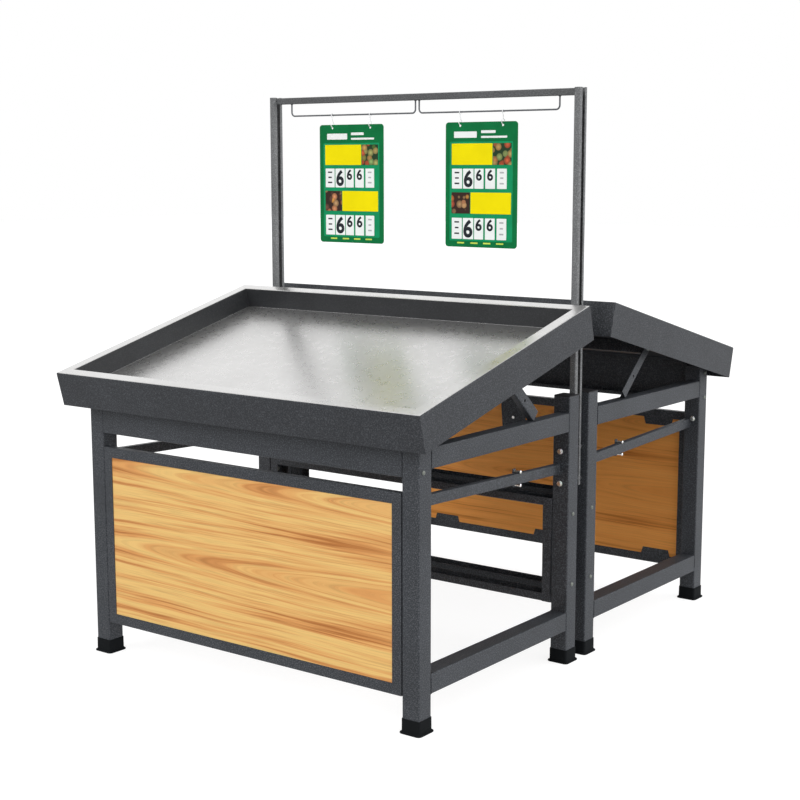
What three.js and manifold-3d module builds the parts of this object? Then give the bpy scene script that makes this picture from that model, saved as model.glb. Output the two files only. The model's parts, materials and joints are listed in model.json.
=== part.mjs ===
// Double-sided produce display rack: two sloping trays on square tube frames,
// back to back, with wood-faced end panels and a sign bar on two channel posts.
// Millimetres, +Z up. X runs along the rack, the front unit faces -Y, and the
// origin lies on the floor under the middle of the rack.

import * as THREE from 'three';
import * as BufferGeometryUtils from 'three/addons/utils/BufferGeometryUtils.js';
import Module from 'manifold-3d';

const wasm = await Module();
wasm.setup();

// Whole rack
const rackLength = 1200;
const unitDepth = 780;
const unitGap = 54;
const fitGap = 0.3;
const overrun = 5;

// Legs
const legSide = 54;
const legWall = 2;
const legRadius = 4;
const legTop = 790;

// Rubber foot caps
const footFloor = 5;
const footHeight = 40;
const footWall = 1.8;
const footFlange = 6;
const footFlangeHeight = 8;
const footEdgeRadius = 2;

// Plastic caps in the tops of the legs
const topCapThickness = 3;
const topCapPlugDepth = 12;

// Side rails between the outer legs and the ridge legs
const railWall = 2;
const railRadius = 3;
const topRailHeight = 55;
const topRailWidth = 40;
const topRailBase = 689;
const bottomRailBase = 100;
const midRailHeight = 30;
const midRailWidth = 20;
const midRailInset = 31;
const midRailOuterLevel = 600;
const midRailRidgeLevel = 577;

// Clamp plates half way along the middle rails
const clampPlateThickness = 3;
const clampPlateWidth = 14;
const clampPlateHeight = 52;
const clampScrewSpan = 38;
const clampFromGap = 263;

// Folded steel sheet of the trays, aprons, frames and posts
const sheet = 2;
const traySheet = 1.5;
const bendRadius = 2;

// Trays
const traySlope = THREE.MathUtils.degToRad(14.38);
const traySideOverhang = 56;
const trayFrontOverhang = 49.5;
const trayRidgeClearance = 47.7;
const skirtBottom = 748;
const skirtHeight = 102;
const rimWidth = 38;
const trayWallHeight = 62;
const trayFloorLap = 20;

// Cross beam welded under each tray floor
const beamWidth = 30;
const beamHeight = 38;
const beamReach = 480;

// Struts from the top rails up to the cross beams
const strutWidth = 33;
const strutFlange = 20;
const strutThickness = 3;
const strutInset = 7;
const strutFootFromGap = 235;
const strutHeadReach = 8;
const strutNotch = 52;
const strutHoleReach = 77;

// Aprons between the outer legs
const apronBottom = 669;
const apronFlange = 42;
const apronLip = 12;
const apronBoltSetback = 18;
const apronBoltRise = 16;
const apronUpperBoltRise = 99;

// Panel frames with their wood boards
const panelClearance = 2;
const panelBase = 97;
const panelTop = 629;
const panelBorder = 30;
const panelBackFlange = 28;
const boardThickness = 18;
const boardLap = 15;
const boardSideLap = 20;
const tabWidth = 95;
const tabBaseWidth = 110;
const bottomTabHeight = 22;
const topTabHeight = 25;
const screwTabHeight = 95;
const tabScrewDrop = 55;
const bottomTabSpacing = 436;
const topTabSpacing = 290;
const panelScrewLowRise = 100;
const panelScrewHighRise = 440;

// Back frames between the ridge legs
const backRailHeight = 24;
const backLowerLevel = 176;
const backUpperLevel = 464;
const backUprightWidth = 31;
const backBoltLow = 235;
const backBoltHigh = 445;

// Posts of the sign bar
const postWidth = 41;
const postDepth = 21;
const postLip = 13;
const postSheet = 2.5;
const postInset = 18.5;
const postBottom = 518;
const postTop = 1660;
const postBoltLow = 536;
const postBoltHigh = 630;
const sleeveRadius = 8;

// Sign bar and the wires below it
const signRailSide = 20;
const signRailWall = 1.5;
const signRailRadius = 3;
const signRailDrop = 2;
const wireRadius = 2.5;
const wireDrop = 60;
const wireBend = 12;
const wireOuterReach = 503;
const wireInnerReach = 7;

// Price boards on their hooks
const boardWidth = 256;
const boardHeight = 370;
const priceBoardThickness = 3;
const boardCorner = 10;
const boardDrop = 30;
const boardHoleRadius = 4;
const boardHoleDrop = 10;
const hookSpacing = 152;
const hookWireRadius = 1.2;
const hookEyeRadius = 5;
const hookRingRadius = 8;
const hookClearance = 0.7;
const hookEyeStart = THREE.MathUtils.degToRad(-30);
const hookEyeEnd = THREE.MathUtils.degToRad(245);
const hookRingStart = THREE.MathUtils.degToRad(65);
const hookRingEnd = THREE.MathUtils.degToRad(-235);
const leftBoardX = -258;
const rightBoardX = 235;
const cardThickness = 1.2;

// Zinc bolts and screws
const boltRadius = 4;
const boltHoleRadius = 4.5;
const boltHead = 13;
const boltHeadHeight = 5.3;
const nutHeight = 6.5;
const boltThreadEnd = 4;
const smallScrewRadius = 3;
const smallScrewHole = 3.4;
const smallScrewHead = 10;
const smallScrewHeadHeight = 4;
const legBoltLevel = 616;
const legBoltOffset = 4;

// Facet counts
const cornerSegments = 1;
const wireBendSteps = 4;
const bendSteps = 2;
const holeSides = 8;
const shankSides = 6;
const sleeveSides = 8;
const wireSides = 8;
const hexagonSides = 6;
const hookSides = 6;
const hookEyeSteps = 7;
const hookRingSteps = 12;

// Price board layout, as shares of its width from the left and height from the top
const cardRowShares = [[0.10, 0.23], [0.25, 0.39], [0.41, 0.54], [0.56, 0.69], [0.72, 0.85]];
const upperCardShares = [0.37, 0.53];
const lowerCardShares = [0.765, 0.935];
const labelShares = [
  { across: [0.09, 0.66], down: [0.17, 0.34] },
  { across: [0.67, 0.92], down: [0.17, 0.34] },
  { across: [0.09, 0.33], down: [0.56, 0.73] },
  { across: [0.34, 0.92], down: [0.56, 0.73] },
];

// Places that follow from the sizes above
const legX = rackLength / 2 - legSide / 2;
const innerLegFace = rackLength / 2 - legSide;
const ridgeLegY = -(unitGap / 2 + legSide / 2);
const outerFaceY = -(unitGap / 2 + unitDepth);
const outerLegY = outerFaceY + legSide / 2;
const trayDepth = (trayFrontOverhang - outerFaceY - trayRidgeClearance) / Math.cos(traySlope);
const railLength = unitDepth - 2 * legSide - 2 * fitGap;
const railY = (ridgeLegY + outerLegY) / 2;
const spanLength = 2 * (innerLegFace - fitGap);
const postX = rackLength / 2 - postInset - postDepth / 2;
const wireLevel = postTop - wireDrop;
const boardTop = wireLevel - boardDrop;

const materials = {
  steel: new THREE.MeshStandardMaterial({ color: 0x45484c, roughness: 0.55, metalness: 0.35 }),
  tray: new THREE.MeshStandardMaterial({ color: 0x3d4043, roughness: 0.25, metalness: 0.5 }),
  rubber: new THREE.MeshStandardMaterial({ color: 0x151517, roughness: 0.8, metalness: 0 }),
  wood: new THREE.MeshStandardMaterial({ color: 0xe0ad68, roughness: 0.5, metalness: 0 }),
  zinc: new THREE.MeshStandardMaterial({ color: 0xc9ccd0, roughness: 0.3, metalness: 0.9 }),
  wire: new THREE.MeshStandardMaterial({ color: 0x5a5d61, roughness: 0.4, metalness: 0.6 }),
  hook: new THREE.MeshStandardMaterial({ color: 0xe8eaec, roughness: 0.35, metalness: 0.1 }),
  sign: new THREE.MeshStandardMaterial({ color: 0x05874b, roughness: 0.4, metalness: 0 }),
};
for (const material of Object.values(materials)) material.flatShading = true;

// Axis bases that lay a profile drawn in XY along X, Y or Z.
const axisX = new THREE.Vector3(1, 0, 0);
const axisY = new THREE.Vector3(0, 1, 0);
const axisZ = new THREE.Vector3(0, 0, 1);
const bases = {
  x: new THREE.Matrix4().makeBasis(axisY, axisZ, axisX),
  y: new THREE.Matrix4().makeBasis(axisZ, axisX, axisY),
  z: new THREE.Matrix4(),
};

// A closed three.js geometry as a solid that can be joined and cut.
function solid(geometry) {
  const bare = geometry.clone();
  for (const name of Object.keys(bare.attributes)) {
    if (name !== 'position') bare.deleteAttribute(name);
  }
  const merged = BufferGeometryUtils.mergeVertices(bare);
  return new wasm.Manifold(new wasm.Mesh({
    numProp: 3,
    vertProperties: new Float32Array(merged.attributes.position.array),
    triVerts: new Uint32Array(merged.index.array),
  }));
}

// The geometry of a joined or cut solid.
function geometryOf(shape) {
  const mesh = shape.getMesh();
  const geometry = new THREE.BufferGeometry();
  geometry.setAttribute('position', new THREE.BufferAttribute(mesh.vertProperties, mesh.numProp));
  geometry.setIndex(new THREE.BufferAttribute(mesh.triVerts, 1));
  geometry.computeVertexNormals();
  return geometry;
}

// Adds one named piece to a group and returns it, to be placed.
function addPiece(parent, name, shape, material) {
  const geometry = shape.isBufferGeometry ? shape : geometryOf(shape);
  const piece = new THREE.Mesh(geometry, material);
  piece.name = name;
  parent.add(piece);
  return piece;
}

// Joins a list of solids, which may lie apart.
function joined(shapes) {
  return shapes.reduce((whole, shape) => whole.add(shape));
}

function box(x, y, z) {
  return solid(new THREE.BoxGeometry(x, y, z));
}

// A round bar along an axis, centred on the origin.
function bar(axis, radius, length, sides = holeSides) {
  const geometry = new THREE.CylinderGeometry(radius, radius, length, sides);
  if (axis === 'x') geometry.rotateZ(Math.PI / 2);
  if (axis === 'z') geometry.rotateX(Math.PI / 2);
  return solid(geometry);
}

// A rectangle with rounded corners, centred on the origin.
function roundedRectangle(width, height, radius, target = new THREE.Shape()) {
  const right = width / 2;
  const top = height / 2;
  target.moveTo(right, -top + radius);
  target.lineTo(right, top - radius);
  target.absarc(right - radius, top - radius, radius, 0, Math.PI / 2);
  target.lineTo(-right + radius, top);
  target.absarc(-right + radius, top - radius, radius, Math.PI / 2, Math.PI);
  target.lineTo(-right, -top + radius);
  target.absarc(-right + radius, -top + radius, radius, Math.PI, 1.5 * Math.PI);
  target.lineTo(right - radius, -top);
  target.absarc(right - radius, -top + radius, radius, 1.5 * Math.PI, 2 * Math.PI);
  return target;
}

// Extrudes a profile along an axis, centred on the middle of its length.
function extruded(axis, shape, length) {
  const geometry = new THREE.ExtrudeGeometry(shape, {
    depth: length,
    bevelEnabled: false,
    curveSegments: cornerSegments,
  });
  geometry.translate(0, 0, -length / 2);
  return geometry.applyMatrix4(bases[axis]);
}

// A rectangular tube along an axis. Along Y its width is vertical, as in the bases.
function tube(axis, width, height, wall, radius, length) {
  const shape = roundedRectangle(width, height, radius);
  const inner = roundedRectangle(width - 2 * wall, height - 2 * wall, radius - wall, new THREE.Path());
  shape.holes.push(inner);
  return extruded(axis, shape, length);
}

// The closed outline of a folded sheet. The corners run along one face of the
// sheet, the sheet lies to their left, and every fold has the same inside radius.
function sheetOutline(corners, thickness, radius) {
  const origin = new THREE.Vector2();
  const points = corners.map(([x, y]) => new THREE.Vector2(x, y));
  const leftOf = (direction) => new THREE.Vector2(-direction.y, direction.x);
  const face = [];
  const back = [];
  points.forEach((corner, index) => {
    const next = points[index + 1];
    const previous = points[index - 1];
    const after = next ? next.clone().sub(corner).normalize() : null;
    const before = previous ? corner.clone().sub(previous).normalize() : null;
    if (!before || !after) {
      face.push(corner);
      back.push(corner.clone().addScaledVector(leftOf(before ?? after), thickness));
      return;
    }
    const turn = Math.atan2(before.cross(after), before.dot(after));
    const side = Math.sign(turn);
    const faceRadius = side > 0 ? radius + thickness : radius;
    const backRadius = side > 0 ? radius : radius + thickness;
    const reach = faceRadius * Math.tan(Math.abs(turn) / 2);
    const centre = corner.clone().addScaledVector(before, -reach);
    centre.addScaledVector(leftOf(before), side * faceRadius);
    for (let step = 0; step <= bendSteps; step += 1) {
      const spoke = leftOf(before).multiplyScalar(-side);
      spoke.rotateAround(origin, (turn * step) / bendSteps);
      face.push(centre.clone().addScaledVector(spoke, faceRadius));
      back.push(centre.clone().addScaledVector(spoke, backRadius));
    }
  });
  return [...face, ...back.reverse()];
}

// A folded sheet extruded along an axis.
function foldedSheet(axis, corners, thickness, length) {
  return extruded(axis, new THREE.Shape(sheetOutline(corners, thickness, bendRadius)), length);
}

// Sweeps an outline round a rectangle with mitred corners. An outline point
// (u, v) lies u in from the edge of the rectangle and v above its base.
function mitredRim(outline, length, depth) {
  const positions = [];
  const index = [];
  for (const { x: u, y: v } of outline) {
    positions.push(-length / 2 + u, u, v);
    positions.push(length / 2 - u, u, v);
    positions.push(length / 2 - u, depth - u, v);
    positions.push(-length / 2 + u, depth - u, v);
  }
  const count = outline.length;
  for (let point = 0; point < count; point += 1) {
    const next = (point + 1) % count;
    for (let corner = 0; corner < 4; corner += 1) {
      const far = (corner + 1) % 4;
      const a = point * 4 + corner;
      const b = next * 4 + corner;
      const c = next * 4 + far;
      const d = point * 4 + far;
      index.push(a, b, c, a, c, d);
    }
  }
  const geometry = new THREE.BufferGeometry();
  geometry.setAttribute('position', new THREE.Float32BufferAttribute(positions, 3));
  geometry.setIndex(index);
  return geometry;
}

// A path whose rings stand exactly at its listed points.
class BentPath extends THREE.Curve {
  constructor(points) {
    super();
    this.points = points;
  }

  getUtoTmapping(share) {
    return share;
  }

  getPoint(share) {
    return this.points[Math.round(share * (this.points.length - 1))].clone();
  }

  getTangent(share) {
    const last = this.points.length - 1;
    const at = Math.round(share * last);
    const tangent = new THREE.Vector3();
    for (const start of [at - 1, at]) {
      if (start < 0 || start >= last) continue;
      tangent.add(this.points[start + 1].clone().sub(this.points[start]).normalize());
    }
    return tangent.normalize();
  }
}

// A round wire along a bent path.
function wireAlong(points, radius, sides) {
  const section = new THREE.Shape();
  for (let side = 0; side < sides; side += 1) {
    const angle = (2 * Math.PI * side) / sides;
    const x = radius * Math.cos(angle);
    const y = radius * Math.sin(angle);
    if (side === 0) section.moveTo(x, y);
    else section.lineTo(x, y);
  }
  return new THREE.ExtrudeGeometry(section, {
    steps: points.length - 1,
    bevelEnabled: false,
    extrudePath: new BentPath(points),
  });
}

// Points on an arc in the plane of two axes, from one angle to another.
function arcPoints(centre, radius, from, to, steps, across, up) {
  const points = [];
  for (let step = 0; step <= steps; step += 1) {
    const angle = from + ((to - from) * step) / steps;
    const point = centre.clone();
    point.addScaledVector(across, radius * Math.cos(angle));
    point.addScaledVector(up, radius * Math.sin(angle));
    points.push(point);
  }
  return points;
}

// Hexagon head or nut along Z, standing on z = 0.
function hexagon(acrossFlats, height) {
  const corner = acrossFlats / Math.sqrt(3);
  const geometry = new THREE.CylinderGeometry(corner, corner, height, hexagonSides);
  geometry.rotateX(Math.PI / 2);
  return solid(geometry).translate(0, 0, height / 2);
}

// Bolt along +Z whose head bears on z = 0 from below.
function bolt(shankLength, radius = boltRadius, head = boltHead, headHeight = boltHeadHeight) {
  const shank = bar('z', radius, shankLength + headHeight / 2, shankSides);
  const headBlank = hexagon(head, headHeight).translate(0, 0, -headHeight);
  return shank.translate(0, 0, (shankLength - headHeight / 2) / 2).add(headBlank);
}

// Bolt with its nut, clamping everything between z = 0 and the grip length.
function boltWithNut(grip) {
  return bolt(grip + nutHeight + boltThreadEnd).add(hexagon(boltHead, nutHeight).translate(0, 0, grip));
}

// Small screw whose pan head bears on z = 0 from below.
function screw(shankLength) {
  return bolt(shankLength, smallScrewRadius, smallScrewHead, smallScrewHeadHeight);
}

// Turns a solid built along +Z so that it points along a direction, and moves it.
function aimed(shape, direction, x, y, z) {
  const turn = new THREE.Quaternion().setFromUnitVectors(axisZ, direction);
  const matrix = new THREE.Matrix4().compose(
    new THREE.Vector3(x, y, z),
    turn,
    new THREE.Vector3(1, 1, 1),
  );
  return shape.transform(matrix.elements);
}

// Leg tube standing on its base at the origin, closed by its plastic cap.
function legTube() {
  const length = legTop - footFloor - fitGap;
  const leg = solid(tube('z', legSide, legSide, legWall, legRadius, length));
  return leg.translate(0, 0, length / 2).add(topCap().translate(0, 0, length));
}

// Height above a leg's own base of a level above the floor.
function legHeight(level) {
  return level - footFloor - fitGap;
}

// Bolt through a leg from its outer side face into the end of a cross piece.
function sideBolt(side, y, level) {
  const inward = axisX.clone().multiplyScalar(-side);
  const grip = legSide + fitGap + sheet + fitGap;
  return aimed(boltWithNut(grip), inward, side * (legSide / 2), y, legHeight(level));
}

// Outer leg with the two bolts that carry the apron and one on its inner face.
function outerLeg(side) {
  const apronBoltY = outerFaceY + apronBoltSetback - outerLegY;
  const panelScrewY = outerFaceY + panelDepth() / 2 - outerLegY;
  const innerBolt = bolt(legWall + boltThreadEnd);
  const outward = axisY.clone().negate();
  let leg = legTube();
  leg = leg.add(aimed(innerBolt, outward, side * legBoltOffset, legSide / 2, legHeight(legBoltLevel)));
  for (const rise of [apronBoltRise, apronUpperBoltRise]) {
    leg = leg.add(sideBolt(side, apronBoltY, apronBottom + rise));
  }
  for (const rise of [panelScrewLowRise, panelScrewHighRise]) {
    const hole = bar('x', smallScrewHole, legSide / 2);
    leg = leg.subtract(hole.translate(-side * (legSide / 2), panelScrewY, legHeight(panelBase + rise)));
  }
  return leg;
}

// Ridge leg with the back frame's bolts, and holes for the post's long bolts.
function ridgeLeg(side) {
  let leg = legTube();
  for (const level of [backBoltLow, backBoltHigh]) {
    leg = leg.add(sideBolt(side, 0, level));
  }
  for (const level of [postBoltLow, postBoltHigh]) {
    const hole = bar('y', boltHoleRadius, legSide + 2 * overrun);
    leg = leg.subtract(hole.translate(side * (postX - legX), 0, legHeight(level)));
  }
  return leg;
}

// Rubber cap that the leg stands in.
function footCap() {
  const outer = legSide + 2 * (fitGap + footWall);
  const flange = new THREE.ExtrudeGeometry(
    roundedRectangle(
      outer + 2 * (footFlange - footEdgeRadius),
      outer + 2 * (footFlange - footEdgeRadius),
      legRadius + footFlange,
    ),
    {
      depth: footFlangeHeight - 2 * footEdgeRadius,
      bevelThickness: footEdgeRadius,
      bevelSize: footEdgeRadius,
      bevelSegments: 1,
      curveSegments: cornerSegments,
    },
  );
  flange.translate(0, 0, footEdgeRadius);
  const bodyShape = roundedRectangle(outer, outer, legRadius + footWall);
  const body = solid(extruded('z', bodyShape, footHeight - footEdgeRadius));
  const bodyMiddle = (footHeight + footEdgeRadius) / 2;
  const socketSide = legSide + 2 * fitGap;
  const socket = solid(extruded('z', roundedRectangle(socketSide, socketSide, legRadius), footHeight));
  return solid(flange)
    .add(body.translate(0, 0, bodyMiddle))
    .subtract(socket.translate(0, 0, footFloor + footHeight / 2));
}

// Plastic cap for the top of a leg, with its plug inside the tube.
function topCap() {
  const face = solid(extruded('z', roundedRectangle(legSide, legSide, legRadius), topCapThickness));
  const plugSide = legSide - 2 * (legWall + fitGap);
  const plug = box(plugSide, plugSide, topCapPlugDepth + topCapThickness / 2);
  return plug
    .translate(0, 0, (topCapThickness / 2 - topCapPlugDepth) / 2)
    .add(face.translate(0, 0, topCapThickness / 2));
}

function sideRail(width, height) {
  return tube('y', height, width, railWall, railRadius, railLength);
}

// Middle rail: its ends stay upright while it falls toward the ridge. It carries
// a clamp plate on its inner face, held by a screw above and one below the rail.
function midRail(side) {
  const fall = (midRailRidgeLevel - midRailOuterLevel) / railLength;
  const rake = new THREE.Matrix4().set(1, 0, 0, 0, 0, 1, 0, 0, 0, fall, 1, 0, 0, 0, 0, 1);
  const length = railLength;
  const rail = tube('y', midRailHeight, midRailWidth, railWall, railRadius, length).applyMatrix4(rake);
  const y = -(unitGap / 2 + clampFromGap) - railY;
  const level = fall * y;
  const plateX = -side * ((midRailWidth + clampPlateThickness) / 2);
  const plate = box(clampPlateThickness, clampPlateWidth, clampPlateHeight);
  let whole = solid(rail).add(plate.translate(plateX, y, level));
  const inward = axisX.clone().multiplyScalar(-side);
  const screwLength = midRailWidth + clampPlateThickness + boltThreadEnd;
  for (const end of [-1, 1]) {
    const clampScrew = bolt(screwLength, smallScrewRadius, boltHead, smallScrewHeadHeight);
    const z = level + (end * clampScrewSpan) / 2;
    whole = whole.add(aimed(clampScrew, inward, side * (midRailWidth / 2), y, z));
  }
  return whole;
}

// Tray: one folded sheet with a skirt, a flat rim, an inner wall and a floor.
function tray() {
  const length = rackLength + 2 * traySideOverhang;
  const floorTop = skirtHeight - trayWallHeight;
  const outline = sheetOutline(
    [
      [rimWidth + trayFloorLap, floorTop],
      [rimWidth, floorTop],
      [rimWidth, skirtHeight],
      [0, skirtHeight],
      [0, 0],
    ],
    traySheet,
    bendRadius,
  );
  const rim = solid(mitredRim(outline, length, trayDepth));
  const floorInset = 2 * rimWidth + trayFloorLap;
  const floor = box(length - floorInset, trayDepth - floorInset, traySheet);
  return rim.add(floor.translate(0, trayDepth / 2, floorTop - traySheet / 2));
}

// Cross beam with a plate in each end that takes the strut's bolt.
function crossBeam() {
  const length = 2 * (rackLength / 2 - strutInset - strutThickness - fitGap);
  const beam = solid(tube('x', beamWidth, beamHeight, railWall, railRadius, length));
  const plate = box(sheet, beamWidth - railWall, beamHeight - railWall);
  const plateX = (length - sheet) / 2;
  return beam
    .add(plate.translate(plateX, 0, 0))
    .add(plate.translate(-plateX, 0, 0))
    .subtract(bar('x', boltHoleRadius, length + 2 * overrun));
}

// Centre of the cross beam across the unit: distance out from the middle, level.
function beamCentre() {
  const rise = skirtHeight - trayWallHeight - traySheet - fitGap - beamHeight / 2;
  const y = outerFaceY - trayFrontOverhang;
  return {
    out: -(y + beamReach * Math.cos(traySlope) - rise * Math.sin(traySlope)),
    level: skirtBottom + beamReach * Math.sin(traySlope) + rise * Math.cos(traySlope),
    rise,
  };
}

// Where a strut stands, its length to the beam's bolt and its lean from level.
function strutPlace() {
  const beam = beamCentre();
  const footOut = unitGap / 2 + strutFootFromGap;
  const footLevel = topRailBase + topRailHeight + fitGap;
  const across = beam.out - footOut;
  const up = beam.level - footLevel;
  const distance = Math.hypot(across, up);
  const offset = Math.asin(strutWidth / 2 / distance);
  return {
    footOut,
    footLevel,
    lean: Math.atan2(up, across) - offset,
    length: distance * Math.cos(offset),
  };
}

// Right-hand strut: an angle with its foot at the origin, running along -Y, with
// a spare hole half way and the bolt that holds the cross beam at its head.
function strut() {
  const place = strutPlace();
  const length = place.length + strutHeadReach;
  const corners = [[strutWidth, 0], [0, 0], [0, -strutFlange]];
  const angle = solid(foldedSheet('y', corners, strutThickness, length)).translate(0, -length / 2, 0);
  const notch = box(strutFlange, strutNotch, strutWidth);
  const hole = bar('x', boltHoleRadius, strutFlange);
  const headBolt = bolt(strutThickness + sheet + fitGap + boltThreadEnd);
  return angle
    .subtract(notch.translate(-strutThickness - strutFlange / 2, strutNotch / 2 - length - overrun, 0))
    .subtract(hole.translate(0, -strutHoleReach, strutWidth / 2))
    .add(aimed(headBolt, axisX.clone().negate(), 0, -place.length, strutWidth / 2));
}

// Level of the tray floor's underside above a place across the unit.
function floorUndersideLevel(y) {
  const rise = skirtHeight - trayWallHeight - traySheet;
  const start = outerFaceY - trayFrontOverhang;
  const along = (y - start + rise * Math.sin(traySlope)) / Math.cos(traySlope);
  return skirtBottom + along * Math.sin(traySlope) + rise * Math.cos(traySlope);
}

// Apron: a lipped channel that carries the low end of the tray, closed by end plates.
function apron() {
  const outerTop = floorUndersideLevel(outerFaceY) - fitGap / Math.cos(traySlope);
  const innerTop = outerTop + apronFlange * Math.tan(traySlope);
  const innerY = outerFaceY + apronFlange;
  const corners = [
    [innerY, innerTop],
    [outerFaceY, outerTop],
    [outerFaceY, apronBottom],
    [innerY, apronBottom],
    [innerY, apronBottom + apronLip],
  ];
  const channel = solid(foldedSheet('x', corners, sheet, spanLength));
  const margin = sheet / 2;
  const plateShape = new THREE.Shape([
    new THREE.Vector2(outerFaceY + margin, apronBottom + margin),
    new THREE.Vector2(innerY - margin, apronBottom + margin),
    new THREE.Vector2(innerY - margin, innerTop - margin),
    new THREE.Vector2(outerFaceY + margin, outerTop - margin),
  ]);
  const plate = solid(extruded('x', plateShape, sheet));
  const plateX = (spanLength - sheet) / 2;
  let whole = channel.add(plate.translate(plateX, 0, 0)).add(plate.translate(-plateX, 0, 0));
  for (const rise of [apronBoltRise, apronUpperBoltRise]) {
    const hole = bar('x', boltHoleRadius, spanLength + 2 * overrun);
    whole = whole.subtract(hole.translate(0, outerFaceY + apronBoltSetback, apronBottom + rise));
  }
  return whole;
}

function panelDepth() {
  return boardThickness + 2 * (traySheet + fitGap);
}

// A tab folded from the frame's back flange, narrower at its free end.
function frameTab(height, upward) {
  const direction = upward ? 1 : -1;
  const shape = new THREE.Shape([
    new THREE.Vector2(-tabBaseWidth / 2, -direction * traySheet),
    new THREE.Vector2(tabBaseWidth / 2, -direction * traySheet),
    new THREE.Vector2(tabWidth / 2, direction * height),
    new THREE.Vector2(-tabWidth / 2, direction * height),
  ]);
  const geometry = new THREE.ExtrudeGeometry(shape, { depth: traySheet, bevelEnabled: false });
  return solid(geometry.rotateX(Math.PI / 2));
}

// Panel frame: folded from sheet, with a front border, a back flange and tabs, and
// with the screws that hold it to the legs and the board to the two long tabs. Its
// origin is the middle of the front face's bottom edge, and +Y runs inward.
function panelFrame() {
  const halfLength = innerLegFace - panelClearance;
  const height = panelTop - panelBase;
  const depth = panelDepth();
  const shell = box(2 * halfLength, depth, height).translate(0, depth / 2, height / 2);
  const cavity = box(2 * (halfLength - traySheet), depth - 2 * traySheet, height - 2 * traySheet);
  const window = box(2 * (halfLength - panelBorder), depth, height - 2 * panelBorder);
  const opening = box(2 * (halfLength - panelBorder), depth, height - 2 * panelBackFlange);
  let frame = shell
    .subtract(cavity.translate(0, depth / 2, height / 2))
    .subtract(window.translate(0, 0, height / 2))
    .subtract(opening.translate(0, depth, height / 2));
  for (const place of [-1, 0, 1]) {
    const tab = frameTab(bottomTabHeight, true);
    frame = frame.add(tab.translate(place * bottomTabSpacing, depth, panelBackFlange));
  }
  for (const place of [-1.5, -0.5, 0.5, 1.5]) {
    const inner = Math.abs(place) < 1;
    const tab = frameTab(inner ? screwTabHeight : topTabHeight, false);
    frame = frame.add(tab.translate(place * topTabSpacing, depth, height - panelBackFlange));
    if (inner) {
      const level = height - panelBackFlange - tabScrewDrop;
      const outward = axisY.clone().negate();
      frame = frame.add(aimed(screw(boardThickness / 2), outward, place * topTabSpacing, depth, level));
    }
  }
  const screwLength = traySheet + panelClearance + legWall + boltThreadEnd;
  for (const side of [-1, 1]) {
    for (const rise of [panelScrewLowRise, panelScrewHighRise]) {
      const outward = axisX.clone().multiplyScalar(side);
      const x = side * (halfLength - traySheet);
      frame = frame.add(aimed(screw(screwLength), outward, x, depth / 2, rise));
    }
  }
  return frame;
}

// Wood-faced board held in the panel frame, with blind holes for the tab screws.
function woodBoard() {
  const halfLength = innerLegFace - panelClearance - panelBorder + boardSideLap;
  const bottom = panelBorder - boardLap;
  const top = panelTop - panelBase - bottom;
  const middleY = traySheet + fitGap + boardThickness / 2;
  let board = box(2 * halfLength, boardThickness, top - bottom);
  board = board.translate(0, middleY, (top + bottom) / 2);
  const level = panelTop - panelBase - panelBackFlange - tabScrewDrop;
  for (const side of [-0.5, 0.5]) {
    const hole = bar('y', smallScrewHole, boardThickness);
    board = board.subtract(hole.translate(side * topTabSpacing, panelDepth(), level));
  }
  return board;
}

// Back frame between the ridge legs: two channels open upward and two uprights.
function backFrame() {
  const width = legSide;
  const rail = (level) => {
    const corners = [
      [-width / 2, level + backRailHeight],
      [-width / 2, level],
      [width / 2, level],
      [width / 2, level + backRailHeight],
    ];
    return solid(foldedSheet('x', corners, sheet, spanLength - 2 * sheet));
  };
  const bottom = backLowerLevel;
  const top = backUpperLevel + backRailHeight;
  const uprightCorners = [
    [-backUprightWidth, width / 2],
    [0, width / 2],
    [0, -width / 2],
    [-backUprightWidth, -width / 2],
  ];
  const upright = solid(foldedSheet('z', uprightCorners.reverse(), sheet, top - bottom));
  const right = upright.translate(spanLength / 2, 0, (top + bottom) / 2);
  let frame = joined([rail(backLowerLevel), rail(backUpperLevel), right, right.mirror([1, 0, 0])]);
  for (const level of [backBoltLow, backBoltHigh]) {
    frame = frame.subtract(bar('x', boltHoleRadius, spanLength + 2 * overrun).translate(0, 0, level));
  }
  return frame;
}

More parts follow.
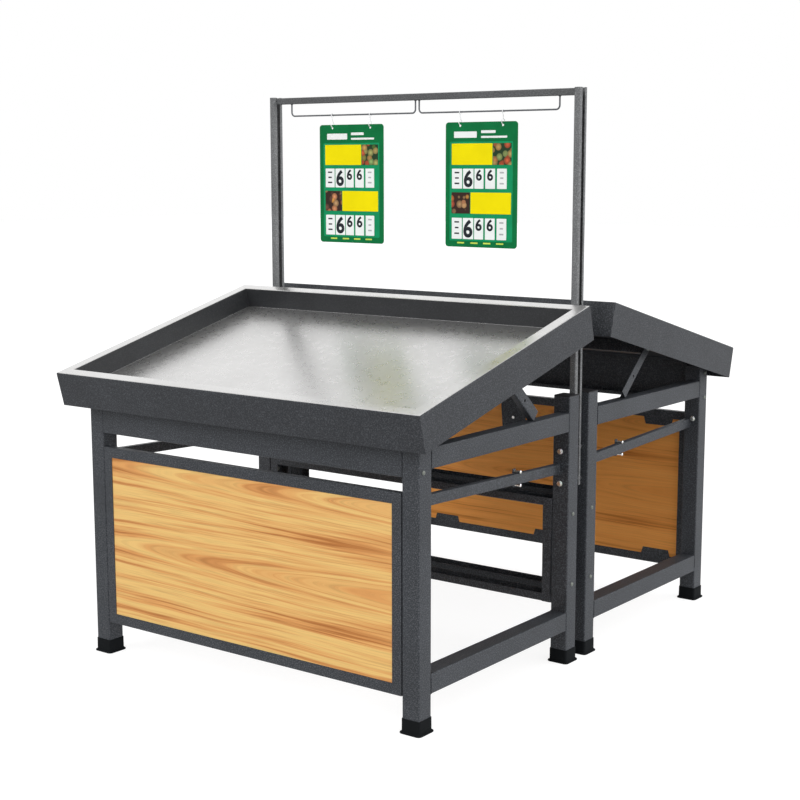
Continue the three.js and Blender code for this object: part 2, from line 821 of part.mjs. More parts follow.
// One of the two identical units, built as the front one.
function unit(prefix, sideNames) {
  const group = new THREE.Group();
  for (const side of [-1, 1]) {
    const name = sideNames[side];
    const legs = [
      { place: 'outer', y: outerLegY, shape: outerLeg(side) },
      { place: 'ridge', y: ridgeLegY, shape: ridgeLeg(side) },
    ];
    for (const { place, y, shape } of legs) {
      const leg = addPiece(group, `${prefix}_${place}_leg_${name}`, shape, materials.steel);
      leg.position.set(side * legX, y, footFloor + fitGap);
      const foot = addPiece(group, `${prefix}_${place}_foot_${name}`, footCap(), materials.rubber);
      foot.position.set(side * legX, y, 0);
    }
    const topRail = sideRail(topRailWidth, topRailHeight);
    const top = addPiece(group, `${prefix}_top_rail_${name}`, topRail, materials.steel);
    top.position.set(side * (rackLength / 2 - topRailWidth / 2), railY, topRailBase + topRailHeight / 2);
    const bottomRail = sideRail(legSide, legSide);
    const bottom = addPiece(group, `${prefix}_bottom_rail_${name}`, bottomRail, materials.steel);
    bottom.position.set(side * legX, railY, bottomRailBase + legSide / 2);
    const mid = addPiece(group, `${prefix}_mid_rail_${name}`, midRail(side), materials.steel);
    const midX = side * (rackLength / 2 - midRailInset - midRailWidth / 2);
    mid.position.set(midX, railY, (midRailOuterLevel + midRailRidgeLevel) / 2);
    const place = strutPlace();
    const strutShape = side > 0 ? strut() : strut().mirror([1, 0, 0]);
    const stay = addPiece(group, `${prefix}_strut_${name}`, strutShape, materials.steel);
    stay.position.set(side * (rackLength / 2 - strutInset), -place.footOut, place.footLevel);
    stay.rotation.x = -place.lean;
  }

  addPiece(group, `${prefix}_apron`, apron(), materials.steel);
  addPiece(group, `${prefix}_back_frame`, backFrame(), materials.steel).position.y = ridgeLegY;
  const frame = addPiece(group, `${prefix}_panel_frame`, panelFrame(), materials.steel);
  frame.position.set(0, outerFaceY, panelBase);
  const board = addPiece(group, `${prefix}_wood_board`, woodBoard(), materials.wood);
  board.position.set(0, outerFaceY, panelBase);

  const slope = new THREE.Group();
  slope.position.set(0, outerFaceY - trayFrontOverhang, skirtBottom);
  slope.rotation.x = traySlope;
  addPiece(slope, `${prefix}_tray`, tray(), materials.tray);
  const beam = addPiece(slope, `${prefix}_tray_beam`, crossBeam(), materials.steel);
  beam.position.set(0, beamReach, beamCentre().rise);
  group.add(slope);
  return group;
}

// Lipped channel post with its open side toward +X and its foot at the origin.
function post() {
  const length = postTop - postBottom;
  const openSide = postDepth / 2;
  const corners = [
    [openSide, postWidth / 2 - postLip],
    [openSide, postWidth / 2],
    [-openSide, postWidth / 2],
    [-openSide, -postWidth / 2],
    [openSide, -postWidth / 2],
    [openSide, -postWidth / 2 + postLip],
  ];
  let channel = solid(foldedSheet('z', corners, postSheet, length)).translate(0, 0, length / 2);
  for (const level of [postBoltLow, postBoltHigh]) {
    const hole = bar('y', boltHoleRadius, postWidth + 2 * overrun);
    channel = channel.subtract(hole.translate(0, 0, level - postBottom));
  }
  const webHole = bar('x', boltHoleRadius, postDepth);
  return channel.subtract(webHole.translate(-openSide, 0, signRailLevel() - postBottom));
}

function signRailLevel() {
  return postTop - signRailDrop - signRailSide / 2;
}

// Sign bar between the posts, with a strap across each open end and the bolt into
// it: the right one's head lies inside the post, the left one's outside it.
function signRail() {
  const end = postX - postDepth / 2 - fitGap;
  const side = signRailSide;
  let rail = solid(tube('x', side, side, signRailWall, signRailRadius, 2 * end));
  const strap = box(sheet, 2 * boltRadius + signRailWall, side - signRailWall);
  for (const place of [-1, 1]) {
    rail = rail.add(strap.translate(place * (end - sheet / 2), 0, 0));
  }
  const rightGrip = postSheet + 2 * fitGap;
  const leftGrip = postDepth + 2 * fitGap;
  const thread = sheet + boltThreadEnd;
  const rightBolt = aimed(bolt(rightGrip + thread), axisX.clone().negate(), end + rightGrip, 0, 0);
  const leftBolt = aimed(bolt(leftGrip + thread), axisX, -end - leftGrip, 0, 0);
  return rail.add(rightBolt).add(leftBolt);
}

// Hanging wire: down from the sign bar, along and up again, from x = start to end.
function hangingWire(start, end) {
  const top = signRailLevel() - signRailSide / 2 - fitGap;
  const bendLevel = wireLevel + wireBend;
  const startCentre = new THREE.Vector3(start + wireBend, 0, bendLevel);
  const endCentre = new THREE.Vector3(end - wireBend, 0, bendLevel);
  const steps = wireBendSteps;
  const points = [
    new THREE.Vector3(start, 0, top),
    ...arcPoints(startCentre, wireBend, Math.PI, 1.5 * Math.PI, steps, axisX, axisZ),
    ...arcPoints(endCentre, wireBend, 1.5 * Math.PI, 2 * Math.PI, steps, axisX, axisZ),
    new THREE.Vector3(end, 0, top),
  ];
  return wireAlong(points, wireRadius, wireSides);
}

// Level of the centre of the hook's lower ring, on which a price board swings.
function hookRingLevel() {
  const holeTop = boardTop - boardHoleDrop + boardHoleRadius;
  return holeTop - hookClearance - hookWireRadius + hookRingRadius;
}

// S-shaped hook: an eye over the wire and a ring through the board's hole.
function hook(x) {
  const eyeLevel = wireLevel + wireRadius + fitGap + hookWireRadius - hookEyeRadius;
  const eye = new THREE.Vector3(x, 0, eyeLevel);
  const ring = new THREE.Vector3(x, 0, hookRingLevel());
  const points = [
    ...arcPoints(eye, hookEyeRadius, hookEyeStart, hookEyeEnd, hookEyeSteps, axisY, axisZ),
    ...arcPoints(ring, hookRingRadius, hookRingStart, hookRingEnd, hookRingSteps, axisY, axisZ),
  ];
  return solid(wireAlong(points, hookWireRadius, hookSides));
}

// Price board in the XZ plane, with its two hook holes, and with the number cards
// and label plates standing proud of its face.
function priceBoard(x) {
  const shape = roundedRectangle(boardWidth, boardHeight, boardCorner);
  const plate = solid(extruded('z', shape, priceBoardThickness));
  let board = plate.rotate([90, 0, 0]).translate(x, 0, boardTop - boardHeight / 2);
  for (const side of [-0.5, 0.5]) {
    const hole = bar('y', boardHoleRadius, priceBoardThickness + 2 * overrun, 2 * holeSides);
    board = board.subtract(hole.translate(x + side * hookSpacing, 0, boardTop - boardHoleDrop));
  }
  const cards = [...labelShares];
  for (const down of [upperCardShares, lowerCardShares]) {
    for (const across of cardRowShares) cards.push({ across, down });
  }
  const left = x - boardWidth / 2;
  for (const { across, down } of cards) {
    const width = (across[1] - across[0]) * boardWidth;
    const height = (down[1] - down[0]) * boardHeight;
    const middleX = left + ((across[0] + across[1]) / 2) * boardWidth;
    const middleZ = boardTop - ((down[0] + down[1]) / 2) * boardHeight;
    const card = box(width, priceBoardThickness + cardThickness, height);
    board = board.add(card.translate(middleX, -cardThickness / 2, middleZ));
  }
  return board;
}

// Long bolt through both ridge legs and the post, with a sleeve on either side of
// the post. It runs along +Y and its middle is the origin.
function postBolt() {
  const farFace = unitGap / 2 + legSide + fitGap;
  const sleeveLength = (unitGap - postWidth) / 2 - 2 * fitGap;
  const sleeve = bar('y', sleeveRadius, sleeveLength, sleeveSides);
  const sleeveY = (unitGap + postWidth) / 4;
  return aimed(boltWithNut(2 * farFace), axisY, 0, -farFace, 0)
    .add(sleeve.translate(0, sleeveY, 0))
    .add(sleeve.translate(0, -sleeveY, 0));
}

const rack = new THREE.Group();
rack.add(unit('front', { [-1]: 'left', 1: 'right' }));
const rear = unit('rear', { [-1]: 'right', 1: 'left' });
rear.rotation.z = Math.PI;
rack.add(rear);

for (const [name, side] of [['left', -1], ['right', 1]]) {
  addPiece(rack, `sign_post_${name}`, post(), materials.steel).position.set(side * postX, 0, postBottom);
  for (const [place, level] of [['low', postBoltLow], ['high', postBoltHigh]]) {
    const fastener = addPiece(rack, `post_bolt_${name}_${place}`, postBolt(), materials.zinc);
    fastener.position.set(side * postX, 0, level);
  }
}

addPiece(rack, 'sign_rail', signRail(), materials.steel).position.z = signRailLevel();
addPiece(rack, 'sign_wire_left', hangingWire(-wireOuterReach, -wireInnerReach), materials.wire);
addPiece(rack, 'sign_wire_right', hangingWire(wireInnerReach, wireOuterReach), materials.wire);

for (const [name, x] of [['left', leftBoardX], ['right', rightBoardX]]) {
  addPiece(rack, `price_board_${name}`, priceBoard(x), materials.sign);
  addPiece(rack, `hook_${name}_a`, hook(x - hookSpacing / 2), materials.hook);
  addPiece(rack, `hook_${name}_b`, hook(x + hookSpacing / 2), materials.hook);
}

export default rack;
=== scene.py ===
"""Studio scene of a double-sided produce display rack.

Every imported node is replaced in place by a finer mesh: tubes with round corners and
weld beads, folded sheet with soft edges, real bolt heads, and procedural finishes.
Metres, +Z up. X runs along the rack and the front unit faces -Y.
"""

import json
import math

import bmesh
import bpy
from mathutils import Matrix, Vector
from mathutils.geometry import tessellate_polygon

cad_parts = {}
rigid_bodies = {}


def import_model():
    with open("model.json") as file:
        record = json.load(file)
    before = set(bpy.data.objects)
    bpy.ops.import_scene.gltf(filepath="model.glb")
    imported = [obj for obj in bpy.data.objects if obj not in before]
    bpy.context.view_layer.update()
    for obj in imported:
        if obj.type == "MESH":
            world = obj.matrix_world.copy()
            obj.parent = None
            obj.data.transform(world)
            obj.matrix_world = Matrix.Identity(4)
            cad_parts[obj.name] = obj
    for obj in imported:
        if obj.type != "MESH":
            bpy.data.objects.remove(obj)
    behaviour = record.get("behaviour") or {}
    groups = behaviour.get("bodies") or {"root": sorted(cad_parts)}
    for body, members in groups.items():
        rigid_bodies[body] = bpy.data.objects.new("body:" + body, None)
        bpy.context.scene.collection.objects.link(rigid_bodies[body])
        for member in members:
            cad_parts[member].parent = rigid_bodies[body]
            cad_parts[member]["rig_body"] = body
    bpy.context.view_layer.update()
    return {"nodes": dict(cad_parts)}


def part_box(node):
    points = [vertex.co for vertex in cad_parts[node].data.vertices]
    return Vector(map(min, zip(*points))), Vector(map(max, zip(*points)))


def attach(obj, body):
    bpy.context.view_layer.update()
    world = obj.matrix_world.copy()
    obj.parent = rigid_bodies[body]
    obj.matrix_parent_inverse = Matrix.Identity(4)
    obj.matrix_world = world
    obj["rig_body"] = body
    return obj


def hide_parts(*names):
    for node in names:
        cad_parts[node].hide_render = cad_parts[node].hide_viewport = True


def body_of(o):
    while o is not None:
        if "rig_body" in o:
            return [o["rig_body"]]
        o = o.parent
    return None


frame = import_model()

# Camera, fitted to a photograph of 800 x 800 pixels
PHOTO_PIXELS = 800
SENSOR_MM = 36
FOCAL_PIXELS = 1524.96
CENTRE_PIXEL_X = 409.48
CENTRE_PIXEL_Y = 408.27
CAMERA_PLACE = Vector((2.7958, -3.8005, 1.4371))
CAMERA_YAW = math.radians(36.63)
CAMERA_PITCH = math.radians(-8.98)

# Tubes and sheet
LEG_SIDE = 0.054
LEG_WALL = 0.002
LEG_RADIUS = 0.004
RAIL_WALL = 0.002
RAIL_RADIUS = 0.003
SIGN_RAIL_SIDE = 0.020
SIGN_RAIL_WALL = 0.0015
CAP_THICKNESS = 0.003
CAP_PROFILE = ((0.0022, -0.012), (0.0022, 0), (0, 0.0001), (0, 0.0020), (0.0012, CAP_THICKNESS))
FOOT_SEAT = 0.0053
FOOT_WALL = 0.0021
FOOT_CLEARANCE = 0.0006
FOOT_TOP_EDGE = 0.0006
FOOT_TOP_INSET = 0.0010
FOOT_LIP = ((-0.0030, 0.0), (-0.0012, 0.0006), (-0.0008, 0.0030), (-0.0018, 0.0042))
FOOT_NECK = ((0.0020, 0.0056), (0.0004, 0.0085))
WELD_RADIUS = 0.0014
TOP_RAIL_SIZE = (0.040, 0.055)
BOTTOM_RAIL_SIZE = (LEG_SIDE, LEG_SIDE)
MID_RAIL_SIZE = (0.020, 0.030)
MID_RAIL_X = 0.559
MID_RAIL_LEVELS = (0.600, 0.577)
TRAY_SLOPE = math.radians(14.38)
TRAY_WALL_HEIGHT = 0.062
SHEET_EDGE = 0.00045
WOOD_EDGE_WIDTH = 0.0006
POST_SHEET = 0.0025
SIGN_RAIL_RADIUS = 0.0025
SIGN_RAIL_GAP = 0.0006
PANEL_HALF_LENGTH = 0.544
PANEL_DEPTH = 0.0216

# Fasteners
BOLT_CORNER = 0.0075
BOLT_HEAD_HEIGHT = 0.0053
NUT_HEIGHT = 0.0065
THREAD_RADIUS = 0.004
THREAD_END = 0.004
WASHER_RADIUS = 0.0084
WASHER_THICKNESS = 0.0014
SCREW_HEAD_RADIUS = 0.0058
SCREW_HEAD_HEIGHT = 0.004
BOLT_GRIP = 0.0566
APRON_BOLT_LEVELS = (0.685, 0.768)
APRON_BOLT_SETBACK = 0.009
BACK_BOLT_LEVELS = (0.235, 0.445)
INNER_BOLT_LEVEL = 0.616
CLAMP_FROM_MIDDLE = 0.290
CLAMP_PLATE = (0.003, 0.014, 0.052)
CLAMP_EDGE = 0.0008
CLAMP_SCREW_SPAN = 0.038
CLAMP_SCREW_RADIUS = 0.0045
CLAMP_SCREW_HEIGHT = 0.0030
CLAMP_ROD = ((0, 0.003), (0.0215, 0.003), (0.0220, 0.0024))
INNER_BOLT_OFFSET = 0.004
STRUT_HEAD_MARGIN = 0.0002
SCREW_FACE_MARGIN = 0.0004
SCREW_SIDE_MARGIN = 0.0003
POST_BOLT_START = 0.0273
SLEEVE_START = 0.0209
SLEEVE_PROFILE = ((0, 0.0074), (0.0004, 0.008), (0.0056, 0.008), (0.006, 0.0074))

# Signs
WIRE_RADIUS = 0.0025
WIRE_BEND = 0.012
WIRE_SEAT = 0.0004
WIRE_WELD = ((0, WIRE_RADIUS * 1.8), (0.0012, WIRE_RADIUS * 1.5), (0.0024, WIRE_RADIUS * 0.98))
HOOK_WIRE_RADIUS = 0.0012
HOOK_EYE_RADIUS = 0.005
HOOK_RING_RADIUS = 0.008
BOARD_THICKNESS = 0.003
BOARD_CORNER = 0.010
BOARD_HOLE_RADIUS = 0.004
BOARD_HOLE_DROP = 0.010
CARD_PROUD = 0.0012
POCKET_PROUD = 0.0004
HEADER_PROUD = 0.0003
MARK_PROUD = 0.0002
FIGURE_PROUD = 0.0001
PLATE_EDGE = 0.0004

SIDES = {"left": -1, "right": 1}
UNITS = {"front": -1, "rear": 1}
CORNER_STEPS = 5
ROUND_STEPS = 24

# Price board layout, as shares of its width from the left and height from the top
CARD_SHARES = ((0.095, 0.238), (0.252, 0.40), (0.413, 0.54), (0.565, 0.70), (0.727, 0.86))
UPPER_CARDS = (0.37, 0.53)
LOWER_CARDS = (0.765, 0.935)
YELLOW_LABELS = (((0.09, 0.66), (0.17, 0.34)), ((0.36, 0.92), (0.56, 0.73)))
PICTURES = (((0.67, 0.92), (0.17, 0.34)), ((0.09, 0.35), (0.56, 0.73)))
POCKET = ((0.06, 0.94), (0.155, 0.95))
FOOTER_STARTS = (0.17, 0.36, 0.54, 0.72)
FOOTER_WIDTH = 0.10
FOOTER_DOWN = (0.960, 0.972)
MARK_START = 0.16
MARK_STEP = 0.27
MARK_TALL = 0.012
MARK_INSET = 0.038
MIDDLE_MARK_INSET = 0.045
# Height share, drop share and width share of the figures
LARGE_FIGURE = (0.86, 0.5, 0.98)
SMALL_FIGURE = (0.56, 0.32, 1.02)
HEADER_CARDS = (((0.12, 0.44), (0.075, 0.125)), ((0.50, 0.70), (0.068, 0.090)),
                ((0.50, 0.86), (0.112, 0.128)))

# Grain of the wood boards: tips of the inmost arches in X and Z, and how the arches open
GRAIN_CORES = ((0.11, 0.35), (0.31, 0.58))
GRAIN_TAPER = 0.0024
GRAIN_BLEND = 0.0015
GRAIN_MARKS = 200.0
GRAIN_WANDER = 0.03

# Studio: tones of the floor and the world, and each lamp's direction, strength and spread
FLOOR_REACH = 30.0
FLOOR_TONE = 0.24
FLOOR_GLOW = 0.87
AMBIENT = 0.55
LAMPS = (
    ("side_light", (0.85, 0.42, 0.45), 1.9, 60),
    ("front_light", (-0.30, -1.0, 0.70), 1.55, 60),
    ("low_light", (1.0, -0.6, 0.15), 1.4, 50),
    ("back_light", (-0.55, 0.60, 0.46), 0.7, 80),
)


# Materials

class Finish:
    """One procedural material, built round a Principled shader in object space."""

    def __init__(self, name, roughness=0.5, metallic=0.0):
        self.material = bpy.data.materials.new(name)
        self.material.use_nodes = True
        self.tree = self.material.node_tree
        self.shader = self.tree.nodes["Principled BSDF"]
        self.place = self.node("TexCoord").outputs["Object"]
        self.set("Roughness", roughness)
        self.set("Metallic", metallic)

    def node(self, kind, **settings):
        made = self.tree.nodes.new("ShaderNode" + kind)
        for name, value in settings.items():
            setattr(made, name, value)
        return made

    def feed(self, socket, value):
        if isinstance(value, bpy.types.NodeSocket):
            self.tree.links.new(value, socket)
        else:
            socket.default_value = value

    def set(self, name, value):
        self.feed(self.shader.inputs[name], value)

    def stretched(self, scale):
        mapping = self.node("Mapping")
        self.feed(mapping.inputs["Vector"], self.place)
        self.feed(mapping.inputs["Scale"], scale)
        return mapping.outputs["Vector"]

    def noise(self, scale, detail=2.0, roughness=0.5, distortion=0.0, place=None):
        made = self.node("TexNoise")
        self.feed(made.inputs["Vector"], place or self.place)
        self.feed(made.inputs["Scale"], scale)
        self.feed(made.inputs["Detail"], detail)
        self.feed(made.inputs["Roughness"], roughness)
        self.feed(made.inputs["Distortion"], distortion)
        return made.outputs["Fac"]

    def cells(self, scale, output="Color", place=None):
        made = self.node("TexVoronoi")
        self.feed(made.inputs["Vector"], place or self.place)
        self.feed(made.inputs["Scale"], scale)
        return made.outputs[output]

    def ramp(self, factor, stops):
        """Colours or grey levels at places from 0 to 1."""
        made = self.node("ValToRGB")
        self.feed(made.inputs["Fac"], factor)
        elements = made.color_ramp.elements
        while len(elements) < len(stops):
            elements.new(1.0)
        for element, (place, value) in zip(elements, stops):
            element.position = place
            level = value if isinstance(value, tuple) else (value,) * 3
            element.color = (*level, 1.0)
        return made.outputs["Color"]

    def mixed(self, factor, first, second, blend="MIX"):
        made = self.node("Mix", data_type="RGBA", blend_type=blend)
        colours = [s for s in made.inputs if s.type == "RGBA"]
        self.feed(made.inputs["Factor"], factor)
        for socket, value in zip(colours, (first, second)):
            self.feed(socket, (*value, 1.0) if isinstance(value, tuple) else value)
        return next(s for s in made.outputs if s.type == "RGBA")

    def math(self, operation, first, second):
        made = self.node("Math", operation=operation)
        self.feed(made.inputs[0], first)
        self.feed(made.inputs[1], second)
        return made.outputs["Value"]

    def bump(self, height, distance, strength=1.0):
        made = self.node("Bump")
        self.feed(made.inputs["Height"], height)
        self.feed(made.inputs["Distance"], distance)
        self.feed(made.inputs["Strength"], strength)
        self.set("Normal", made.outputs["Normal"])


def powder_coat(name, colour, speck, roughness=(0.42, 0.6), texture=0.00022):
    """Textured powder coat: a fine mottled skin with paler specks."""
    finish = Finish(name)
    skin = finish.noise(300.0, detail=3.0, roughness=0.62)
    specks = finish.ramp(skin, ((0.48, 0.0), (0.64, 1.0)))
    broad = finish.ramp(finish.noise(7.0, detail=3.0), ((0.3, 0.86), (0.7, 1.1)))
    body = finish.mixed(specks, colour, speck)
    finish.set("Base Color", finish.mixed(1.0, body, broad, "MULTIPLY"))
    finish.set("Roughness", finish.ramp(skin, ((0.3, roughness[0]), (0.7, roughness[1]))))
    finish.set("Specular IOR Level", 0.25)
    finish.bump(skin, texture)
    return finish.material


def tray_gloss(name):
    """The upward faces of the trays, where the coat is smooth and shines."""
    finish = Finish(name, metallic=0.85)
    wear = finish.noise(38.0, detail=4.0, roughness=0.6)
    film = finish.noise(3.2, detail=3.0)
    shade = finish.ramp(film, ((0.3, (0.43, 0.426, 0.422)), (0.7, (0.475, 0.471, 0.467))))
    finish.set("Base Color", shade)
    finish.set("Roughness", finish.ramp(wear, ((0.3, 0.25), (0.7, 0.33))))
    finish.bump(finish.noise(420.0, detail=2.0), 0.000005)
    return finish.material


def wood(name, pale, middle, dark):
    """Wood face with long grain along X and nested arches that point to -X."""
    finish = Finish(name)
    split = finish.node("SeparateXYZ")
    finish.feed(split.inputs["Vector"], finish.place)
    along = split.outputs["X"]
    drift = finish.noise(2.6, detail=3.0, place=finish.stretched((0.5, 1.0, 2.0)))
    wander = finish.math("MULTIPLY", finish.math("SUBTRACT", drift, 0.5), GRAIN_WANDER)
    level = finish.math("ADD", split.outputs["Z"], wander)
    arches = []
    for tip_x, tip_z in GRAIN_CORES:
        rise = finish.math("SUBTRACT", level, tip_z)
        reach = finish.math("MULTIPLY", finish.math("SUBTRACT", along, tip_x), GRAIN_TAPER)
        arches.append(finish.math("SUBTRACT", finish.math("MULTIPLY", rise, rise), reach))
    nested = finish.math("SMOOTH_MIN", *arches)
    nested.node.inputs[2].default_value = GRAIN_BLEND
    ring = finish.math("SQRT", finish.math("ABSOLUTE", nested, 0.0), 0.0)
    marks = finish.ramp(finish.math("MULTIPLY", nested, GRAIN_MARKS),
                        ((0.0, 0.45), (0.03, 0.0), (0.15, 0.0), (0.19, 0.45), (0.23, 0.0)))

    def grain(along_scale, ring_scale, detail):
        joined = finish.node("CombineXYZ")
        finish.feed(joined.inputs["X"], finish.math("MULTIPLY", along, along_scale))
        finish.feed(joined.inputs["Z"], finish.math("MULTIPLY", ring, ring_scale))
        return finish.noise(1.0, detail=detail, roughness=0.62, place=joined.outputs["Vector"])

    bands = finish.ramp(grain(0.9, 60.0, 4.0), ((0.35, dark), (0.44, middle), (0.55, pale), (1.0, pale)))
    marked = finish.mixed(marks, bands, middle)
    fibre = grain(5.0, 330.0, 5.0)
    pores = finish.ramp(fibre, ((0.36, 0.80), (0.52, 1.0)))
    finish.set("Base Color", finish.mixed(0.8, marked, pores, "MULTIPLY"))
    finish.set("Roughness", finish.ramp(fibre, ((0.3, 0.5), (0.7, 0.36))))
    finish.set("Specular IOR Level", 0.2)
    finish.bump(fibre, 0.00008)
    return finish.material


def moulded(name, colour, roughness, grain=500.0, texture=0.00006, shift=0.12, shine=0.15):
    """Moulded or coated surface with a fine grain and a slight drift of tone."""
    finish = Finish(name)
    tone = finish.noise(14.0, detail=3.0)
    darker = tuple(c * (1 - shift) for c in colour)
    paler = tuple(min(1.0, c * (1 + shift)) for c in colour)
    finish.set("Base Color", finish.ramp(tone, ((0.3, darker), (0.7, paler))))
    skin = finish.noise(grain, detail=2.0)
    finish.set("Roughness", finish.ramp(skin, ((0.3, roughness * 0.85), (0.7, roughness * 1.15))))
    finish.set("Specular IOR Level", shine)
    finish.bump(skin, texture)
    return finish.material


def zinc(name):
    """Zinc plating with a faint spangle and fine turning marks."""
    finish = Finish(name, metallic=1.0)
    spangle = finish.cells(260.0)
    finish.set("Base Color", finish.mixed(0.12, (0.72, 0.73, 0.70), spangle))
    finish.set("Roughness", finish.ramp(finish.noise(600.0), ((0.3, 0.22), (0.7, 0.38))))
    finish.bump(finish.noise(900.0), 0.00002)
    return finish.material


def produce_print(name, ground, tones):
    """A generic print of round shapes in the colours of a fruit crate."""
    finish = Finish(name, roughness=0.35)
    finish.set("Specular IOR Level", 0.15)
    tint = finish.node("SeparateColor")
    finish.feed(tint.inputs["Color"], finish.cells(48.0))
    stops = tuple((index / len(tones), tone) for index, tone in enumerate(tones))
    fruit = finish.ramp(tint.outputs["Red"], stops)
    distance = finish.cells(48.0, "Distance")
    round_share = finish.ramp(distance, ((0.48, 1.0), (0.58, 0.0)))
    sheen = finish.ramp(distance, ((0.0, 1.35), (0.4, 0.6)))
    shaded = finish.mixed(1.0, fruit, sheen, "MULTIPLY")
    finish.set("Base Color", finish.mixed(round_share, ground, shaded))
    return finish.material


FRAME_PAINT = powder_coat("frame_paint", (0.024, 0.027, 0.032), (0.092, 0.098, 0.110))
TRAY_PAINT = powder_coat("tray_paint", (0.017, 0.019, 0.023), (0.070, 0.075, 0.084))
POST_PAINT = powder_coat("post_paint", (0.115, 0.118, 0.122), (0.25, 0.255, 0.26))
BAR_PAINT = powder_coat("bar_paint", (0.068, 0.070, 0.073), (0.155, 0.158, 0.162))
TRAY_WALL = powder_coat("tray_wall_paint", (0.022, 0.023, 0.025), (0.036, 0.037, 0.040), (0.3, 0.42), 0.00006)
TRAY_GLOSS = tray_gloss("tray_gloss")
RUBBER = moulded("foot_rubber", (0.007, 0.008, 0.009), 0.7, texture=0.0001, shine=0.05)
CAP_PLASTIC = moulded("cap_plastic", (0.018, 0.018, 0.020), 0.42)
WOOD_FACE = wood("wood_face", (0.85, 0.55, 0.195), (0.74, 0.355, 0.115), (0.47, 0.175, 0.045))
# The back faces are the same wood in a deeper, more saturated orange: painted warm bounce light in the shade
# between the units, not a different wood.
WOOD_BACK_WITH_PAINTED_BOUNCE = wood("wood_back_with_painted_bounce", (0.93, 0.39, 0.09), (0.86, 0.34, 0.075), (0.55, 0.18, 0.03))
WOOD_EDGE = moulded("wood_edge", (0.42, 0.25, 0.12), 0.7, grain=700.0, texture=0.0002)
ZINC = zinc("zinc")
DULL_ZINC = moulded("dull_zinc", (0.20, 0.215, 0.195), 0.5)
WIRE_GREY = moulded("wire_grey", (0.11, 0.115, 0.125), 0.35)
HOOK_WHITE = moulded("hook_white", (0.80, 0.81, 0.82), 0.3)
BOARD_GREEN = moulded("board_green", (0.002, 0.150, 0.043), 0.3, shine=0.08)
POCKET_GREEN = moulded("pocket_green", (0.007, 0.265, 0.105), 0.25, shine=0.08)
LABEL_YELLOW = moulded("label_yellow", (0.87, 0.73, 0.003), 0.45, shift=0.04, shine=0.04)
CARD_WHITE = moulded("card_white", (0.84, 0.86, 0.85), 0.35, shift=0.03)
PRINT_BLACK = moulded("print_black", (0.010, 0.013, 0.018), 0.35)
PRINT_GREY = moulded("print_grey", (0.42, 0.43, 0.44), 0.4)
PRINT_LIME = moulded("print_lime", (0.55, 0.70, 0.10), 0.4)
LEAF_PRINT = produce_print(
    "leaf_print", (0.012, 0.035, 0.012),
    ((0.06, 0.20, 0.03), (0.55, 0.30, 0.10), (0.22, 0.36, 0.12), (0.50, 0.10, 0.04)))
FRUIT_PRINT = produce_print(
    "fruit_print", (0.030, 0.012, 0.008),
    ((0.72, 0.34, 0.07), (0.42, 0.05, 0.03), (0.80, 0.50, 0.22), (0.14, 0.06, 0.04)))


# Mesh building blocks

AXES = {
    "x": (Vector((0, 1, 0)), Vector((0, 0, 1)), Vector((1, 0, 0))),
    "y": (Vector((1, 0, 0)), Vector((0, 0, 1)), Vector((0, 1, 0))),
    "z": (Vector((1, 0, 0)), Vector((0, 1, 0)), Vector((0, 0, 1))),
}


def piece(name, mesh, materials, body="root", replaces=(), smooth=math.radians(35)):
    """Turns a bmesh into a piece with weighted normals that rides on a body."""
    bmesh.ops.recalc_face_normals(mesh, faces=mesh.faces)
    data = bpy.data.meshes.new(name)
    mesh.to_mesh(data)
    mesh.free()
    for material in materials:
        data.materials.append(material)
    data.shade_smooth()
    data.set_sharp_from_angle(angle=smooth)
    made = bpy.data.objects.new(name, data)
    bpy.context.scene.collection.objects.link(made)
    weights = made.modifiers.new("weights", "WEIGHTED_NORMAL")
    weights.keep_sharp = True
    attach(made, body)
    if replaces:
        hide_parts(*replaces)
    return made


def bevel(made, width, segments=2, angle=math.radians(30)):
    """Rounds the sharp edges of a piece ahead of its other modifiers."""
    rounding = made.modifiers.new("edges", "BEVEL")
    rounding.width = width
    rounding.segments = segments
    rounding.limit_method = "ANGLE"
    rounding.angle_limit = angle
    rounding.use_clamp_overlap = False
    while made.modifiers[0] != rounding:
        with bpy.context.temp_override(object=made):
            bpy.ops.object.modifier_move_to_index(modifier="edges", index=0)
    return made


def skin(mesh, rings, closed=False, material=0):
    """Joins rings of points with faces. An open run gets a face on each end."""
    made = [[mesh.verts.new(point) for point in ring] for ring in rings]
    pairs = list(zip(made, made[1:]))
    if closed:
        pairs.append((made[-1], made[0]))
    count = len(made[0])
    for near, far in pairs:
        for at in range(count):
            after = (at + 1) % count
            mesh.faces.new((near[at], near[after], far[after], far[at])).material_index = material
    if not closed:
        mesh.faces.new(made[0]).material_index = material
        mesh.faces.new(made[-1]).material_index = material


def rounded_ring(width, height, radius, steps=CORNER_STEPS):
    """Points round a rectangle with round corners, each with its outward direction."""
    points = []
    for quarter in range(4):
        turn = math.pi / 2 * quarter
        sign_u = 1 if quarter in (0, 3) else -1
        sign_v = 1 if quarter in (0, 1) else -1
        for step in range(steps + 1):
            angle = turn + math.pi / 2 * step / steps
            out = (math.cos(angle), math.sin(angle))
            centre = (sign_u * (width / 2 - radius), sign_v * (height / 2 - radius))
            points.append(((centre[0] + radius * out[0], centre[1] + radius * out[1]), out))
    return points


def placed(axis, centre, along, u, v):
    across, up, forward = AXES[axis]
    return centre + across * u + up * v + forward * along


def tube(mesh, axis, centre, width, height, wall, radius, length, fall=0.0):
    """Rectangular tube. A fall shears it upward along its length."""
    rings = []
    inner_radius = max(radius - wall, 0.0004)
    for shrink, along in ((0, -0.5), (0, 0.5), (wall, 0.5), (wall, -0.5)):
        corner = inner_radius if shrink else radius
        outline = rounded_ring(width - 2 * shrink, height - 2 * shrink, corner)
        lift = Vector((0, 0, fall * along * length))
        rings.append([placed(axis, centre, along * length, u, v) + lift for (u, v), _ in outline])
    skin(mesh, rings, closed=True)


